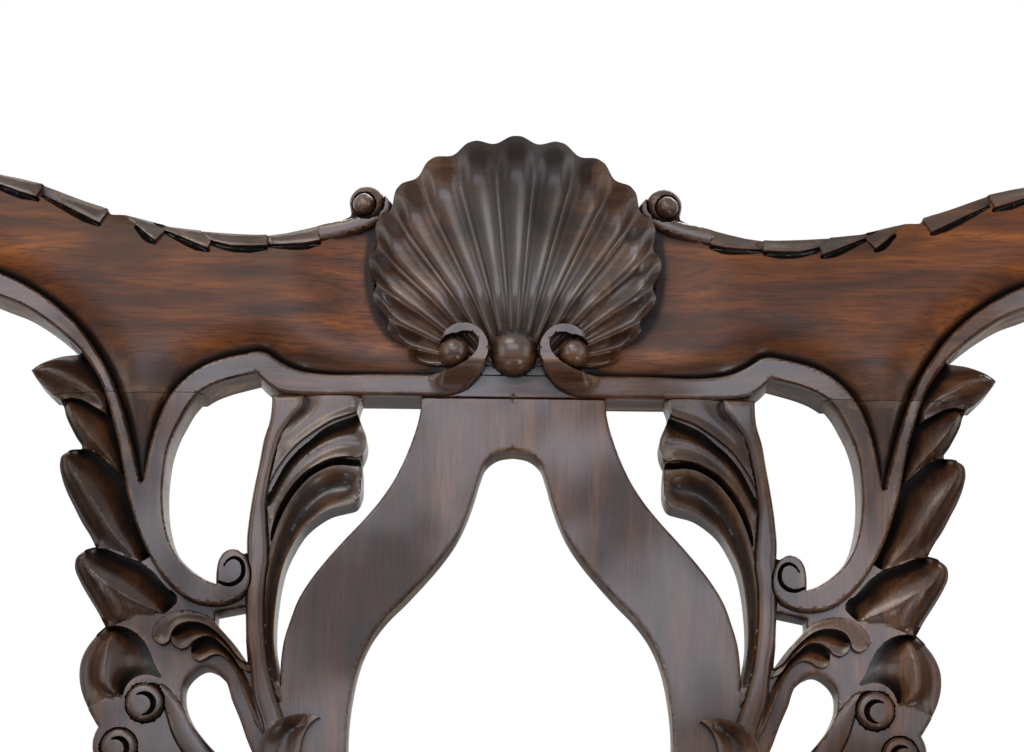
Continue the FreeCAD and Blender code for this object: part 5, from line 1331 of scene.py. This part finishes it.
def puffed(piece, keepBelow, reach):
    # the stuffing's push on the leather, held at the skirt, no point moving further than reach
    rest = pointsOf(piece)
    held = piece.vertex_groups.new(name="held")
    for vert in piece.data.vertices:
        if vert.co.z < keepBelow:
            held.add([vert.index], 1.0, "ADD")
    cloth = piece.modifiers.new("cloth", "CLOTH")
    for key, value in stuffing.items():
        setattr(cloth.settings, key, value)
    cloth.settings.vertex_group_mass = "held"
    cloth.settings.effector_weights.gravity = 0
    cloth.collision_settings.use_collision = False
    cloth.point_cache.frame_start = 1
    cloth.point_cache.frame_end = stuffingSteps
    for step in range(1, stuffingSteps + 1):
        scene.frame_set(step)
    shaped = piece.evaluated_get(bpy.context.evaluated_depsgraph_get())
    moved = pointsOf(shaped)
    piece.modifiers.remove(cloth)
    scene.frame_set(1)
    away = moved - rest
    size = np.linalg.norm(away, axis=1)[:, None]
    away *= np.minimum(1, reach / np.maximum(size, 1e-9))
    piece.data.vertices.foreach_set("co", (rest + away).astype(np.float32).ravel())
    print("leather moved by", round(float(np.linalg.norm(away, axis=1).max()) * 1000, 1), "mm")


leather = meshPiece("leather_seat", coverMesh(), leatherMaterial(), "slip_seat",
                    ["seat_cover", "seat_stuffing"])
puffed(leather, (seat["shoulder"] + 3) / 1000, seat["puff"] / 1000)
skin = leather.modifiers.new("skin", "SOLIDIFY")
skin.thickness = seat["skin"] / 1000
skin.offset = -1


def wovenMaterial(name, colour, threads):
    # plain weave from two crossed waves
    material, tree, place = emptyMaterial(name)
    axes = put(tree, "ShaderNodeSeparateXYZ", place).outputs
    warp = calc(tree, "SINE", calc(tree, "MULTIPLY", axes[0], threads))
    weft = calc(tree, "SINE", calc(tree, "MULTIPLY", axes[1], threads))
    weave = calc(tree, "MULTIPLY", warp, weft)
    fuzz = noise(tree, place, 900.0, 3.0, 0.6)
    share = calc(tree, "ADD", smooth(tree, weave, -1.0, 1.0, 0.2, 0.6), calc(tree, "MULTIPLY", fuzz, 0.5))
    dark = tuple(part * 0.4 for part in colour)
    bump = put(tree, "ShaderNodeBump", named={"Strength": 0.5, "Distance": 0.0006, "Height": weave})
    surface(tree, {"Base Color": mixColour(tree, share, (*dark, 1), (*colour, 1)), "Roughness": 0.95,
                   "Normal": bump.outputs[0]})
    return material


# Hessian and webbing are stretched flat, each strip a sheet of its own
def sheetPiece(name, corners, low, high, material, replaced):
    # two skins over four plan corners, in metres
    work = bmesh.new()
    steps = 24
    layers = []
    for height in (low, high):
        grid = {}
        for i in range(steps + 1):
            for j in range(steps + 1):
                a, b = i / steps, j / steps
                point = (corners[0] * (1 - a) * (1 - b) + corners[1] * a * (1 - b) + corners[2] * a * b
                         + corners[3] * (1 - a) * b)
                grid[i, j] = work.verts.new((point.x, point.y, height))
        layers.append(grid)
    for i in range(steps):
        for j in range(steps):
            square = ((i, j), (i + 1, j), (i + 1, j + 1), (i, j + 1))
            work.faces.new([layers[1][spot] for spot in square])
            work.faces.new([layers[0][spot] for spot in reversed(square)])
    rim = gridRim(steps, steps)
    for first, second in zip(rim, rim[1:] + rim[:1]):
        work.faces.new((layers[0][first], layers[0][second], layers[1][second], layers[1][first]))
    bmesh.ops.recalc_face_normals(work, faces=work.faces)
    piece = meshPiece(name, finishedMesh(name, work, 40), material, "slip_seat", replaced)
    return piece


def planCorners(points):
    # front-left, front-right, rear-right, rear-left of a flat piece
    low, high = points[:, 1].min(), points[:, 1].max()
    front = points[points[:, 1] < low + 1e-4][:, 0]
    rear = points[points[:, 1] > high - 1e-4][:, 0]
    return [Vector((front.min(), low, 0)), Vector((front.max(), low, 0)), Vector((rear.max(), high, 0)),
            Vector((rear.min(), high, 0))]


hessian = wovenMaterial("hessian", (0.33, 0.22, 0.12), 2400.0)
jute = wovenMaterial("jute_webbing", (0.42, 0.3, 0.17), 1700.0)
clothPoints = pointsOf(nodes["base_cloth"])
sheetPiece("base_hessian", planCorners(clothPoints), clothPoints[:, 2].min(), clothPoints[:, 2].max(),
           hessian, ["base_cloth"])
for node in ("webbing_long", "webbing_cross"):
    points = pointsOf(nodes[node])
    axis = 0 if node == "webbing_long" else 1
    order = points[np.argsort(points[:, axis])]
    breaks = np.flatnonzero(np.diff(order[:, axis]) > 0.02)
    strips = np.split(order, breaks + 1)
    pairs = [np.vstack(strips[i:i + 2]) for i in range(0, len(strips), 2)]
    for number, strip in enumerate(pairs, start=1):
        sheetPiece(f"{node}_{number}", planCorners(strip), strip[:, 2].min(), strip[:, 2].max(),
                   jute, [node])
print("hessian and webbing are laid")


def steelMaterial():
    # old screw steel, dull and rusty in spots
    material, tree, place = emptyMaterial("screw_steel")
    tarnish = noise(tree, place, 700.0, 3.0, 0.6)
    colour = ramp(tree, tarnish, [(0.35, (0.34, 0.32, 0.29, 1)), (0.6, (0.26, 0.23, 0.2, 1)),
                                  (0.75, (0.12, 0.07, 0.04, 1))])
    surface(tree, {"Base Color": colour, "Metallic": 1.0,
                   "Roughness": smooth(tree, tarnish, 0.3, 0.7, 0.36, 0.6)})
    return material


screws = nodes["corner_block_screws"]
screws.data.materials.clear()
screws.data.materials.append(steelMaterial())

# Pale floor, small enough to end below the photograph's frame
floorWork = bmesh.new()
bmesh.ops.create_circle(floorWork, cap_ends=True, radius=4.0, segments=96)
floorMesh = bpy.data.meshes.new("floor")
floorWork.to_mesh(floorMesh)
floorWork.free()
floor = linked("floor", floorMesh)
floorPaint = bpy.data.materials.new("floor_paint")
floorPaint.use_nodes = True
paint = floorPaint.node_tree.nodes["Principled BSDF"].inputs
paint["Base Color"].default_value = (0.86, 0.86, 0.86, 1)
paint["Roughness"].default_value = 0.8
floorMesh.materials.append(floorPaint)

# Plain light: a dim cool room for the object, white where the camera or a mirror sees it
room = {"tint": (0.9, 0.94, 1, 1), "strength": 0.17}
world = bpy.data.worlds.new("studio")
scene.world = world
world.use_nodes = True
tree = world.node_tree
tree.nodes.clear()
rays = put(tree, "ShaderNodeLightPath").outputs
seen = calc(tree, "MAXIMUM", rays["Is Camera Ray"], rays["Is Transmission Ray"])
seen = calc(tree, "MAXIMUM", seen, rays["Is Glossy Ray"])
roomLight = put(tree, "ShaderNodeBackground", room["tint"], room["strength"]).outputs[0]
whiteRoom = put(tree, "ShaderNodeBackground", (1, 1, 1, 1), 1.0).outputs[0]
put(tree, "ShaderNodeOutputWorld", put(tree, "ShaderNodeMixShader", seen, roomLight, whiteRoom).outputs[0])


def softLamp(name, place, aim, size, power, tint=(1, 1, 1)):
    lamp = bpy.data.lights.new(name, "AREA")
    lamp.shape = "RECTANGLE"
    lamp.size, lamp.size_y = size
    lamp.energy = power
    lamp.color = tint
    item = linked(name, lamp)
    item.location = place
    item.rotation_euler = (Vector(aim) - Vector(place)).to_track_quat("-Z", "Y").to_euler()


aim = (0, jointY, 0.92)
softLamp("lamp_sheen", (-0.15, jointY - 1.44, 1.62), aim, (1.5, 0.7), 9, (0.8, 0.84, 1))
softLamp("lamp_key", (-0.5, jointY - 0.75, 2.1), aim, (0.9, 0.6), 7, (1, 0.93, 0.84))
softLamp("lamp_low", (0.1, jointY - 0.75, 0.03), (0.1, jointY - 0.75, 1), (1.2, 0.5), 9, (0.95, 0.97, 1))
for hand, side in (("left", -1), ("right", 1)):
    softLamp("lamp_" + hand, (1.35 * side, jointY - 0.8, 1.05), aim, (0.5, 1.2), 2.5)
softLamp("lamp_rear", (0.3, jointY + 0.9, 1.7), aim, (1.2, 0.6), 8)

# Camera at the photograph's place
view = {"distance": 1.0, "shiftX": -0.000595, "raise": 0.007475, "lens": 103.4, "roll": math.radians(0.65)}
camera = bpy.data.cameras.new("photo_view")
camera.sensor_width = 36
camera.lens = view["lens"]
cameraItem = linked("photo_view", camera)
cameraItem.location = (view["shiftX"], jointY - view["distance"], chairBack["jointHeight"] + view["raise"])
cameraItem.rotation_euler = (math.pi / 2, -view["roll"], 0)
scene.camera = cameraItem
scene.view_settings.view_transform = "Standard"
print("light and camera are set")
